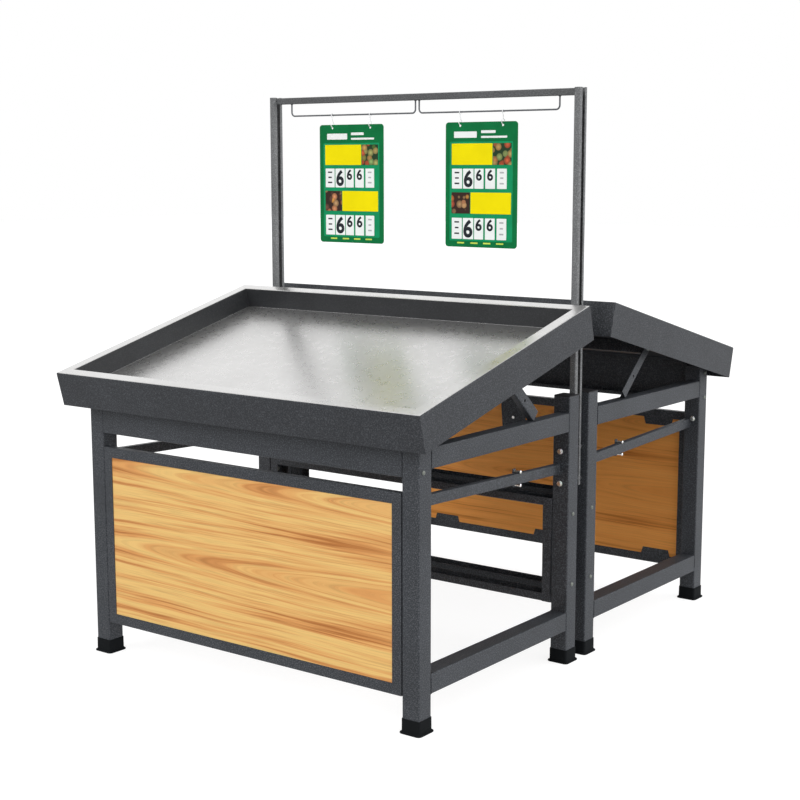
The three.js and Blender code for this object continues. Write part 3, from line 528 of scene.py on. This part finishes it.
def weld_bead(mesh, axis, centre, width, height, radius):
    """Rippled bead round the end of a tube, half sunk into what it meets."""
    across, up, forward = AXES[axis]
    rings = []
    outline = rounded_ring(width, height, RAIL_RADIUS, steps=3)
    corners = [p for p, _ in outline]
    outs = [o for _, o in outline]
    path = []
    for at, corner in enumerate(corners):
        after = (at + 1) % len(corners)
        gap = math.dist(corner, corners[after])
        parts = max(1, round(gap / (1.6 * radius)))
        for part in range(parts):
            share = part / parts
            point = [a + (b - a) * share for a, b in zip(corner, corners[after])]
            out = [a + (b - a) * share for a, b in zip(outs[at], outs[after])]
            path.append((point, out))
    for at, ((u, v), (out_u, out_v)) in enumerate(path):
        swell = radius * (1.12 if at % 2 else 0.86)
        ring = []
        for step in range(8):
            angle = math.tau * step / 8
            reach = swell * math.cos(angle)
            offset = forward * (swell * math.sin(angle))
            ring.append(centre + across * (u + out_u * reach) + up * (v + out_v * reach) + offset)
        rings.append(ring)
    skin(mesh, rings, closed=True)


def frame_along(direction):
    """Two directions square to a direction."""
    forward = direction.normalized()
    across = forward.orthogonal().normalized()
    return across, forward.cross(across), forward


def turned(mesh, place, direction, profile, sides=ROUND_STEPS, material=0, twist=0.0):
    """Body turned round a direction. The profile lists (distance along, radius)."""
    across, up, forward = frame_along(direction)
    rings = []
    for along, radius in profile:
        ring = []
        for step in range(sides):
            angle = math.tau * step / sides + twist
            spoke = across * math.cos(angle) + up * math.sin(angle)
            ring.append(place + forward * along + spoke * radius)
        rings.append(ring)
    skin(mesh, rings, material=material)


def pipe(mesh, points, radius, sides=14, material=0):
    """Round wire through a list of points, turned from one to the next."""
    directions = []
    for at in range(len(points)):
        before = points[max(at - 1, 0)]
        after = points[min(at + 1, len(points) - 1)]
        directions.append((after - before).normalized())
    across = directions[0].orthogonal().normalized()
    rings = []
    for point, direction in zip(points, directions):
        across = (across - direction * across.dot(direction)).normalized()
        up = direction.cross(across)
        angles = [math.tau * step / sides for step in range(sides)]
        rings.append([point + (across * math.cos(a) + up * math.sin(a)) * radius for a in angles])
    skin(mesh, rings, material=material)


def arc(centre, radius, start, end, steps, across, up):
    angles = [start + (end - start) * step / steps for step in range(steps + 1)]
    return [centre + (across * math.cos(a) + up * math.sin(a)) * radius for a in angles]


def block(mesh, low, high, material=0):
    """Box between two corners."""
    rings = []
    for z in (low[2], high[2]):
        rings.append([Vector((x, y, z)) for x, y in
                      ((low[0], low[1]), (high[0], low[1]), (high[0], high[1]), (low[0], high[1]))])
    skin(mesh, rings, material=material)


# Fasteners

def washer(mesh, place, outward, radius=WASHER_RADIUS):
    edge = WASHER_THICKNESS * 0.2
    turned(mesh, place, outward, ((-0.0004, radius - edge), (WASHER_THICKNESS - edge, radius),
                                  (WASHER_THICKNESS, radius - edge)))


def hexagon(mesh, place, outward, height, twist=0.35):
    """Hexagon head or nut with its top corners turned off."""
    turned(mesh, place, outward, ((0, BOLT_CORNER), (height * 0.82, BOLT_CORNER),
                                  (height, BOLT_CORNER * 0.88)), sides=6, twist=twist)
    turned(mesh, place, outward, ((height * 0.9, BOLT_CORNER * 0.80), (height + 0.0002, BOLT_CORNER * 0.78)))


def bolt_head(mesh, place, outward):
    washer(mesh, place, outward)
    hexagon(mesh, place + outward * WASHER_THICKNESS, outward, BOLT_HEAD_HEIGHT)


def bolt_nut(mesh, place, outward):
    washer(mesh, place, outward)
    seat = place + outward * WASHER_THICKNESS
    hexagon(mesh, seat, outward, NUT_HEIGHT, twist=0.8)
    tip = NUT_HEIGHT + THREAD_END
    pitch = 0.00125
    profile = [(0.0, THREAD_RADIUS)]
    along = NUT_HEIGHT
    while along < tip - pitch:
        profile.append((along, THREAD_RADIUS))
        profile.append((along + pitch / 2, THREAD_RADIUS * 0.88))
        along += pitch
    profile.append((tip, THREAD_RADIUS * 0.8))
    turned(mesh, seat, outward, profile)


def pan_screw(mesh, place, outward, radius=SCREW_HEAD_RADIUS, height=SCREW_HEAD_HEIGHT):
    """Domed screw head with a cross recess marked by a small sunk disc."""
    steps = 5
    dome = [(-0.0004, radius)]
    for step in range(steps + 1):
        angle = math.pi / 2 * step / steps
        dome.append((height * (0.35 + 0.65 * math.sin(angle)), radius * max(math.cos(angle), 0.28)))
    dome.append((height * 0.62, radius * 0.2))
    turned(mesh, place, outward, dome)


def fasteners(name, build, body="root", replaces=(), finish=ZINC):
    mesh = bmesh.new()
    build(mesh)
    return piece(name, mesh, [finish], body, replaces)


# Steelwork

def middle(node):
    low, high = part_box(node)
    return (low + high) / 2


def leg(unit, place, side_name):
    """Leg tube with its plastic cap, standing in its foot."""
    node = f"{unit}_{place}_leg_{side_name}"
    foot = f"{unit}_{place}_foot_{side_name}"
    centre = middle(foot)
    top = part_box(node)[1].z - CAP_THICKNESS
    mesh = bmesh.new()
    tube(mesh, "z", Vector((centre.x, centre.y, (FOOT_SEAT + top) / 2)), LEG_SIDE, LEG_SIDE,
         LEG_WALL, LEG_RADIUS, top - FOOT_SEAT)
    piece(node + "_tube", mesh, [FRAME_PAINT], replaces=(node,))

    cap = bmesh.new()
    rings = []
    for shrink, level in CAP_PROFILE:
        outline = rounded_ring(LEG_SIDE - 2 * shrink, LEG_SIDE - 2 * shrink, LEG_RADIUS)
        rings.append([Vector((centre.x + u, centre.y + v, top + level)) for (u, v), _ in outline])
    skin(cap, rings)
    piece(node + "_cap", cap, [CAP_PLASTIC])


def foot(node):
    """Rubber foot with a flared base, a soft top edge and a socket for the leg."""
    low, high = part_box(node)
    centre = (low + high) / 2
    flare = high.x - low.x
    body = LEG_SIDE + 2 * FOOT_WALL
    socket = LEG_SIDE + FOOT_CLEARANCE
    height = high.z - low.z
    sections = [(flare + change, level) for change, level in FOOT_LIP]
    sections += [(body + change, level) for change, level in FOOT_NECK]
    sections += [(body, height - FOOT_TOP_EDGE), (body - FOOT_TOP_INSET, height)]
    sections += [(socket, height), (socket, FOOT_SEAT - 0.0003)]
    mesh = bmesh.new()
    rings = []
    for side, level in sections:
        outline = rounded_ring(side, side, LEG_RADIUS + max(0.0, (side - LEG_SIDE) / 2))
        rings.append([Vector((centre.x + u, centre.y + v, low.z + level)) for (u, v), _ in outline])
    skin(mesh, rings)
    piece(node + "_rubber", mesh, [RUBBER], replaces=(node,), smooth=math.radians(50))


def rail(unit, kind, side_name, width, height):
    """Side rail with a weld bead where each end meets its leg."""
    node = f"{unit}_{kind}_rail_{side_name}"
    side = SIDES[side_name]
    low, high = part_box(node)
    legs = sorted(middle(f"{unit}_{place}_foot_{side_name}").y for place in ("outer", "ridge"))
    start = legs[0] + LEG_SIDE / 2
    end = legs[1] - LEG_SIDE / 2
    fall = 0.0
    x = (low.x + high.x) / 2
    z = (low.z + high.z) / 2
    if kind == "mid":
        drop = MID_RAIL_LEVELS[1] - MID_RAIL_LEVELS[0]
        fall = -UNITS[unit] * drop / (end - start)
        x = side * MID_RAIL_X
        z = sum(MID_RAIL_LEVELS) / 2
    centre = Vector((x, (start + end) / 2, z))
    length = end - start
    mesh = bmesh.new()
    tube(mesh, "y", centre, width, height, RAIL_WALL, RAIL_RADIUS, length, fall)
    for end_share in (-0.5, 0.5):
        at = centre + Vector((0, end_share * length, end_share * fall * length))
        weld_bead(mesh, "y", at, width, height, WELD_RADIUS)
    piece(node + "_tube", mesh, [FRAME_PAINT], replaces=(node,))
    return centre, fall


def clamp(unit, side_name, rail_centre, fall):
    """Clamp plate on the inner face of a middle rail, with a screw above and below."""
    side = SIDES[side_name]
    y = UNITS[unit] * CLAMP_FROM_MIDDLE
    z = rail_centre.z + fall * (y - rail_centre.y)
    half = MID_RAIL_SIZE[0] / 2
    face = MID_RAIL_X - half
    thick, wide, tall = CLAMP_PLATE
    mesh = bmesh.new()
    inner = sorted((side * face, side * (face - thick)))
    block(mesh, (inner[0], y - wide / 2, z - tall / 2), (inner[1], y + wide / 2, z + tall / 2))
    plate = piece(f"{unit}_clamp_plate_{side_name}", mesh, [FRAME_PAINT])
    bevel(plate, CLAMP_EDGE)

    def screws(made):
        for end in (-0.5, 0.5):
            place = Vector((side * (MID_RAIL_X + half), y, z + end * CLAMP_SCREW_SPAN))
            outward = Vector((side, 0, 0))
            pan_screw(made, place, outward, CLAMP_SCREW_RADIUS, CLAMP_SCREW_HEIGHT)
            turned(made, place, -outward, CLAMP_ROD, sides=12)
    fasteners(f"{unit}_clamp_screws_{side_name}", screws)


def sheet_piece(node, materials=None, pick=None, width=SHEET_EDGE):
    """Finer copy of a folded sheet node with soft edges, in the same place."""
    mesh = bmesh.new()
    mesh.from_mesh(frame["nodes"][node].data)
    bmesh.ops.remove_doubles(mesh, verts=mesh.verts, dist=0.00002)
    bmesh.ops.dissolve_limit(mesh, angle_limit=math.radians(0.6), verts=mesh.verts, edges=mesh.edges)
    if pick:
        mesh.normal_update()
        for face in mesh.faces:
            face.material_index = pick(face)
    made = piece(node + "_sheet", mesh, materials or [FRAME_PAINT], body_of(frame["nodes"][node])[0],
                 (node,), smooth=math.radians(50))
    return bevel(made, width)


def tray_space(unit):
    """Turns a direction in the world into one square to a tray's sloping floor."""
    turn = Matrix.Rotation(-TRAY_SLOPE, 3, "X")
    if unit == "rear":
        turn = turn @ Matrix.Rotation(math.pi, 3, "Z")
    return turn


def tray(unit):
    """Folded tray: a textured skirt outside, a smooth shining floor and rim inside."""
    node = f"{unit}_tray"
    turn = tray_space(unit)
    corners = [turn @ vert.co for vert in frame["nodes"][node].data.vertices]
    rim_level = max(c.z for c in corners)
    floor_level = rim_level - TRAY_WALL_HEIGHT
    half_length = max(c.x for c in corners)
    near = min(c.y for c in corners)
    far = max(c.y for c in corners)
    edge = 0.004

    def pick(face):
        normal = turn @ face.normal
        centre = turn @ face.calc_center_median()
        outside = (abs(centre.x) > half_length - edge or centre.y < near + edge or centre.y > far - edge)
        if normal.z > 0.5 and centre.z > floor_level - edge:
            return 1
        if abs(normal.z) < 0.5 and not outside and centre.z > floor_level:
            return 2
        return 0

    sheet_piece(node, [TRAY_PAINT, TRAY_GLOSS, TRAY_WALL], pick)


def strut(unit, side_name):
    node = f"{unit}_strut_{side_name}"
    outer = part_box(node)[1].x if side_name == "right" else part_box(node)[0].x
    face = abs(outer) - BOLT_HEAD_HEIGHT

    def pick(found):
        return int(abs(found.calc_center_median().x) > face + STRUT_HEAD_MARGIN)

    sheet_piece(node, [FRAME_PAINT, ZINC], pick)


def side_bolts(unit, side_name):
    """Bolts through the legs into the apron and the back frame."""
    side = SIDES[side_name]
    outward = Vector((side, 0, 0))
    outer = middle(f"{unit}_outer_foot_{side_name}")
    ridge = middle(f"{unit}_ridge_foot_{side_name}")
    places = [(outer.y + UNITS[unit] * APRON_BOLT_SETBACK, level) for level in APRON_BOLT_LEVELS]
    places += [(ridge.y, level) for level in BACK_BOLT_LEVELS]
    face = outer.x + side * LEG_SIDE / 2

    def build(mesh):
        for y, z in places:
            pan_screw(mesh, Vector((face, y, z)), outward)
            bolt_nut(mesh, Vector((face - side * BOLT_GRIP, y, z)), -outward)

    def build_inner(mesh):
        x = outer.x + side * INNER_BOLT_OFFSET
        place = Vector((x, outer.y - UNITS[unit] * LEG_SIDE / 2, INNER_BOLT_LEVEL))
        bolt_head(mesh, place, Vector((0, -UNITS[unit], 0)))

    fasteners(f"{unit}_side_bolts_{side_name}", build, finish=DULL_ZINC)
    fasteners(f"{unit}_inner_bolt_{side_name}", build_inner)


def post_bolt(node):
    """Long bolt through both ridge legs and a sign post, with its two sleeves."""
    centre = middle(node)
    reach = POST_BOLT_START + LEG_SIDE
    forward = Vector((0, 1, 0))
    place = Vector((centre.x, 0, centre.z))

    def build(mesh):
        bolt_head(mesh, place - forward * reach, -forward)
        bolt_nut(mesh, place + forward * reach, forward)
        rod = ((0, THREAD_RADIUS), (2 * reach, THREAD_RADIUS))
        turned(mesh, place - forward * reach, forward, rod, sides=16)
        for side in (-1, 1):
            turned(mesh, place + forward * (side * SLEEVE_START), forward * side, SLEEVE_PROFILE)
    fasteners(node + "_set", build, replaces=(node,))


def wood_board(unit):
    """Faced board: bright grain outside; the back takes a deeper, more saturated orange tone that paints the
    warm bounce light in the shade between the units; raw edges.
    """
    outward = UNITS[unit]

    def pick(face):
        if abs(face.normal.y) < 0.5:
            return 2
        # Faces turned inward get the copy of the wood with painted bounce light.
        return 0 if face.normal.y * outward > 0 else 1

    sheet_piece(f"{unit}_wood_board", [WOOD_FACE, WOOD_BACK_WITH_PAINTED_BOUNCE, WOOD_EDGE], pick, WOOD_EDGE_WIDTH)


def panel_frame(unit):
    """Panel frame, with its screw heads in zinc."""
    node = f"{unit}_panel_frame"
    low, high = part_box(node)

    def pick(face):
        centre = face.calc_center_median()
        proud = abs(centre.y) < max(abs(low.y), abs(high.y)) - PANEL_DEPTH - SCREW_FACE_MARGIN
        return int(proud or abs(centre.x) > PANEL_HALF_LENGTH + SCREW_SIDE_MARGIN)

    sheet_piece(node, [FRAME_PAINT, ZINC], pick)


# Signs

def sign_rail():
    low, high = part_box("sign_rail")
    inner = max(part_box("sign_post_left")[1].x, -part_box("sign_post_right")[0].x)
    z = (low.z + high.z) / 2
    mesh = bmesh.new()
    tube(mesh, "x", Vector((0, 0, z)), SIGN_RAIL_SIDE, SIGN_RAIL_SIDE, SIGN_RAIL_WALL,
         SIGN_RAIL_RADIUS, -2 * inner - SIGN_RAIL_GAP)
    piece("sign_rail_tube", mesh, [BAR_PAINT], replaces=("sign_rail",))

    def build(made):
        left_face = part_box("sign_post_left")[0].x
        right_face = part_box("sign_post_right")[0].x + POST_SHEET
        bolt_head(made, Vector((left_face, 0, z)), Vector((-1, 0, 0)))
        bolt_head(made, Vector((right_face, 0, z)), Vector((1, 0, 0)))
    fasteners("sign_rail_bolts", build)


def sign_wire(node):
    """Bent wire under the sign bar, welded to it at both ends."""
    low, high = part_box(node)
    start = low.x + WIRE_RADIUS
    end = high.x - WIRE_RADIUS
    level = low.z + WIRE_RADIUS
    across, up = Vector((1, 0, 0)), Vector((0, 0, 1))
    bend = level + WIRE_BEND
    points = [Vector((start, 0, high.z + WIRE_SEAT))]
    points += arc(Vector((start + WIRE_BEND, 0, bend)), WIRE_BEND, math.pi, 1.5 * math.pi, 10, across, up)
    points += arc(Vector((end - WIRE_BEND, 0, bend)), WIRE_BEND, 1.5 * math.pi, math.tau, 10, across, up)
    points.append(Vector((end, 0, high.z + WIRE_SEAT)))
    mesh = bmesh.new()
    pipe(mesh, points, WIRE_RADIUS)
    for x in (start, end):
        turned(mesh, Vector((x, 0, high.z + WIRE_SEAT)), Vector((0, 0, -1)), WIRE_WELD, sides=16)
    piece(node + "_rod", mesh, [WIRE_GREY], replaces=(node,), smooth=math.radians(60))


def hook(node, body):
    """S-shaped hook: an eye over the wire and a ring through the board's hole."""
    low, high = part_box(node)
    x = (low.x + high.x) / 2
    across, up = Vector((0, 1, 0)), Vector((0, 0, 1))
    eye = Vector((x, 0, high.z - HOOK_WIRE_RADIUS - HOOK_EYE_RADIUS))
    ring = Vector((x, 0, low.z + HOOK_WIRE_RADIUS + HOOK_RING_RADIUS))
    points = arc(eye, HOOK_EYE_RADIUS, math.radians(-30), math.radians(245), 22, across, up)
    points += arc(ring, HOOK_RING_RADIUS, math.radians(65), math.radians(-235), 28, across, up)
    mesh = bmesh.new()
    pipe(mesh, points, HOOK_WIRE_RADIUS, sides=12)
    piece(node + "_wire", mesh, [HOOK_WHITE], body, (node,), smooth=math.radians(60))


def plate_ring(centre, width, height, radius, y, steps=CORNER_STEPS):
    outline = rounded_ring(width, height, radius, steps)
    return [Vector((centre.x + u, y, centre.z + v)) for (u, v), _ in outline]


def card(mesh, board, across, down, back, front, radius=0.0015, material=0):
    """Flat card on a board's face, placed by shares of the board."""
    left, top, width, height = board
    centre = Vector((left + width * sum(across) / 2, 0, top - height * sum(down) / 2))
    wide = width * (across[1] - across[0])
    tall = height * (down[1] - down[0])
    edge = min(0.0003, (back - front) / 2)
    rings = [plate_ring(centre, wide, tall, radius, back, 3),
             plate_ring(centre, wide, tall, radius, front + edge, 3),
             plate_ring(centre, wide - 2 * edge, tall - 2 * edge, radius, front, 3)]
    skin(mesh, rings, material=material)


def digit(name, body, centre, height, width_share, y):
    """A plain printed figure on a card."""
    text = bpy.data.curves.new(name + "_outline", "FONT")
    text.body = "6"
    text.size = 1.0
    text.extrude = 0.0
    text.offset = 0.032
    text.align_x = "CENTER"
    text.align_y = "CENTER"
    holder = bpy.data.objects.new(name + "_outline", text)
    bpy.context.scene.collection.objects.link(holder)
    flat = bpy.data.meshes.new_from_object(holder.evaluated_get(bpy.context.evaluated_depsgraph_get()))
    bpy.data.objects.remove(holder)
    xs = [v.co.x for v in flat.vertices]
    ys = [v.co.y for v in flat.vertices]
    grow = height / (max(ys) - min(ys))
    mesh = bmesh.new()
    mesh.from_mesh(flat)
    bmesh.ops.remove_doubles(mesh, verts=mesh.verts, dist=0.0001)
    for vert in mesh.verts:
        u = (vert.co.x - (max(xs) + min(xs)) / 2) * grow * width_share
        v = (vert.co.y - (max(ys) + min(ys)) / 2) * grow
        vert.co = Vector((centre.x + u, y, centre.z + v))
    made = bmesh.ops.extrude_face_region(mesh, geom=mesh.faces[:])
    for item in made["geom"]:
        if isinstance(item, bmesh.types.BMVert):
            item.co.y += 0.00025
    piece(name, mesh, [PRINT_BLACK], body)


def board_plate(mesh, board, holes, front, back):
    """Plate with round corners and two round holes."""
    left, top, width, height = board
    centre = Vector((left + width / 2, 0, top - height / 2))
    across, up = Vector((1, 0, 0)), Vector((0, 0, 1))
    loops = [plate_ring(centre, width, height, BOARD_CORNER, 0, 8)]
    for x, z in holes:
        loops.append(arc(Vector((x, 0, z)), BOARD_HOLE_RADIUS, 0, math.tau, 24, across, up)[:-1])
    points = [point for loop in loops for point in loop]
    layers = []
    for y in (front, back):
        layers.append([mesh.verts.new((point.x, y, point.z)) for point in points])
    for corners in tessellate_polygon(loops):
        for layer in layers:
            mesh.faces.new([layer[corner] for corner in corners])
    first = 0
    for loop in loops:
        count = len(loop)
        for at in range(count):
            here, after = first + at, first + (at + 1) % count
            mesh.faces.new((layers[0][here], layers[0][after], layers[1][after], layers[1][here]))
        first += count
    bmesh.ops.dissolve_limit(mesh, angle_limit=math.radians(0.6), verts=mesh.verts, edges=mesh.edges)


def price_board(side_name):
    """Green price board with yellow labels, plain prints and rows of figure cards."""
    node = f"price_board_{side_name}"
    body = f"board_{side_name}"
    low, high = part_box(node)
    board = (low.x, high.z, high.x - low.x, high.z - low.z)
    left, top, width, height = board
    face = -BOARD_THICKNESS / 2
    proud = face - CARD_PROUD
    hook_x = [middle(f"hook_{side_name}_{end}").x for end in "ab"]
    holes = [(x, top - BOARD_HOLE_DROP) for x in hook_x]
    mesh = bmesh.new()
    board_plate(mesh, board, holes, face, -face)
    plate = piece(node + "_plate", mesh, [BOARD_GREEN], body, (node,), smooth=math.radians(40))
    bevel(plate, PLATE_EDGE)

    pocket = bmesh.new()
    card(pocket, board, *POCKET, face, face - POCKET_PROUD, 0.004)
    piece(node + "_pocket", pocket, [POCKET_GREEN], body)

    labels = bmesh.new()
    for across, down in YELLOW_LABELS:
        card(labels, board, across, down, face, proud)
    piece(node + "_labels", labels, [LABEL_YELLOW], body)
    for index, (across, down) in enumerate(PICTURES):
        printed = bmesh.new()
        card(printed, board, across, down, face, proud)
        piece(f"{node}_print_{index + 1}", printed, [(LEAF_PRINT, FRUIT_PRINT)[index]], body)

    cards = bmesh.new()
    marks = bmesh.new()
    for row, down in enumerate((UPPER_CARDS, LOWER_CARDS)):
        for column, across in enumerate(CARD_SHARES):
            card(cards, board, across, down, face, proud)
            x = left + width * sum(across) / 2
            tall = height * (down[1] - down[0])
            if column in (1, 2, 3):
                share, drop, wide = LARGE_FIGURE if column == 1 else SMALL_FIGURE
                centre = Vector((x, 0, top - height * down[0] - tall * drop))
                digit(f"{node}_figure_{row + 1}_{column}", body, centre, tall * share, wide,
                      proud - FIGURE_PROUD)
            else:
                for mark in range(3):
                    start = down[0] + (down[1] - down[0]) * (MARK_START + MARK_STEP * mark)
                    inset = MIDDLE_MARK_INSET if mark == 1 else MARK_INSET
                    card(marks, board, (across[0] + inset, across[1] - inset), (start, start + MARK_TALL),
                         proud, proud - MARK_PROUD, 0.0006, material=0 if column == 0 else 1)
    piece(node + "_cards", cards, [CARD_WHITE], body)
    piece(node + "_card_marks", marks, [PRINT_BLACK, PRINT_GREY], body)

    header = bmesh.new()
    for across, down in HEADER_CARDS:
        card(header, board, across, down, face, face - HEADER_PROUD, 0.002)
    piece(node + "_header", header, [CARD_WHITE], body)
    footer = bmesh.new()
    for start in FOOTER_STARTS:
        across = (start, start + FOOTER_WIDTH)
        card(footer, board, across, FOOTER_DOWN, face, face - HEADER_PROUD, 0.001)
    piece(node + "_footer", footer, [PRINT_LIME], body)


# Assembly

for unit_name in UNITS:
    for side in SIDES:
        for stand in ("outer", "ridge"):
            leg(unit_name, stand, side)
            foot(f"{unit_name}_{stand}_foot_{side}")
        rail(unit_name, "top", side, *TOP_RAIL_SIZE)
        rail(unit_name, "bottom", side, *BOTTOM_RAIL_SIZE)
        mid_centre, mid_fall = rail(unit_name, "mid", side, *MID_RAIL_SIZE)
        clamp(unit_name, side, mid_centre, mid_fall)
        strut(unit_name, side)
        side_bolts(unit_name, side)
    for kind in ("apron", "back_frame", "tray_beam"):
        sheet_piece(f"{unit_name}_{kind}")
    panel_frame(unit_name)
    wood_board(unit_name)
    tray(unit_name)

for side in SIDES:
    sheet_piece(f"sign_post_{side}", [POST_PAINT])
    for level_name in ("low", "high"):
        post_bolt(f"post_bolt_{side}_{level_name}")
    sign_wire(f"sign_wire_{side}")
    price_board(side)
    for end_name in "ab":
        hook(f"hook_{side}_{end_name}", f"hooks_{side}")
sign_rail()


# Studio

def studio_floor():
    """White floor that fades into the white background and keeps the shadow."""
    reach = FLOOR_REACH
    mesh = bpy.data.meshes.new("studio_floor")
    mesh.from_pydata([(-reach, -reach, 0), (reach, -reach, 0), (reach, reach, 0), (-reach, reach, 0)],
                     [], [(0, 1, 2, 3)])
    floor = bpy.data.objects.new("studio_floor", mesh)
    bpy.context.scene.collection.objects.link(floor)
    material = bpy.data.materials.new("studio_floor")
    material.use_nodes = True
    tree = material.node_tree
    tree.nodes.clear()
    output = tree.nodes.new("ShaderNodeOutputMaterial")
    diffuse = tree.nodes.new("ShaderNodeBsdfDiffuse")
    diffuse.inputs["Color"].default_value = (FLOOR_TONE, FLOOR_TONE, FLOOR_TONE, 1)
    glow = tree.nodes.new("ShaderNodeEmission")
    path = tree.nodes.new("ShaderNodeLightPath")
    seen = tree.nodes.new("ShaderNodeMath")
    seen.operation = "MAXIMUM"
    strength = tree.nodes.new("ShaderNodeMath")
    strength.operation = "MULTIPLY"
    strength.inputs[1].default_value = FLOOR_GLOW
    both = tree.nodes.new("ShaderNodeAddShader")
    tree.links.new(path.outputs["Is Camera Ray"], seen.inputs[0])
    tree.links.new(path.outputs["Is Glossy Ray"], seen.inputs[1])
    tree.links.new(seen.outputs["Value"], strength.inputs[0])
    tree.links.new(strength.outputs["Value"], glow.inputs["Strength"])
    tree.links.new(diffuse.outputs["BSDF"], both.inputs[0])
    tree.links.new(glow.outputs["Emission"], both.inputs[1])
    tree.links.new(both.outputs["Shader"], output.inputs["Surface"])
    mesh.materials.append(material)


def studio_world(ambient):
    """Soft ambient light that the camera and reflections see as white."""
    world = bpy.data.worlds.new("studio_world")
    bpy.context.scene.world = world
    world.use_nodes = True
    tree = world.node_tree
    background = tree.nodes["Background"]
    background.inputs["Color"].default_value = (1, 1, 1, 1)
    path = tree.nodes.new("ShaderNodeLightPath")
    seen = tree.nodes.new("ShaderNodeMath")
    seen.operation = "MAXIMUM"
    through = tree.nodes.new("ShaderNodeMath")
    through.operation = "MAXIMUM"
    level = tree.nodes.new("ShaderNodeMapRange")
    level.inputs["To Min"].default_value = ambient
    level.inputs["To Max"].default_value = 1.0
    tree.links.new(path.outputs["Is Camera Ray"], seen.inputs[0])
    tree.links.new(path.outputs["Is Glossy Ray"], seen.inputs[1])
    tree.links.new(seen.outputs["Value"], through.inputs[0])
    tree.links.new(path.outputs["Is Transmission Ray"], through.inputs[1])
    tree.links.new(through.outputs["Value"], level.inputs["Value"])
    tree.links.new(level.outputs["Result"], background.inputs["Strength"])


def soft_sun(name, towards, strength, spread):
    """Wide soft light that shines from a direction."""
    data = bpy.data.lights.new(name, "SUN")
    data.energy = strength
    data.angle = spread
    lamp = bpy.data.objects.new(name, data)
    lamp.rotation_mode = "QUATERNION"
    lamp.rotation_quaternion = (-Vector(towards)).to_track_quat("-Z", "Y")
    bpy.context.scene.collection.objects.link(lamp)


studio_floor()
studio_world(AMBIENT)
for lamp_name, lamp_towards, lamp_strength, lamp_spread in LAMPS:
    soft_sun(lamp_name, lamp_towards, lamp_strength, math.radians(lamp_spread))


def camera():
    """Camera at the photograph's viewing angle."""
    data = bpy.data.cameras.new("camera")
    data.sensor_width = SENSOR_MM
    data.lens = FOCAL_PIXELS / PHOTO_PIXELS * SENSOR_MM
    data.shift_x = (PHOTO_PIXELS / 2 - CENTRE_PIXEL_X) / PHOTO_PIXELS
    data.shift_y = (CENTRE_PIXEL_Y - PHOTO_PIXELS / 2) / PHOTO_PIXELS
    made = bpy.data.objects.new("camera", data)
    forward = Vector((-math.sin(CAMERA_YAW) * math.cos(CAMERA_PITCH),
                      math.cos(CAMERA_YAW) * math.cos(CAMERA_PITCH), math.sin(CAMERA_PITCH)))
    made.location = CAMERA_PLACE
    made.rotation_mode = "QUATERNION"
    made.rotation_quaternion = forward.to_track_quat("-Z", "Y")
    bpy.context.scene.collection.objects.link(made)
    bpy.context.scene.camera = made


camera()
bpy.context.scene.view_settings.view_transform = "Standard"
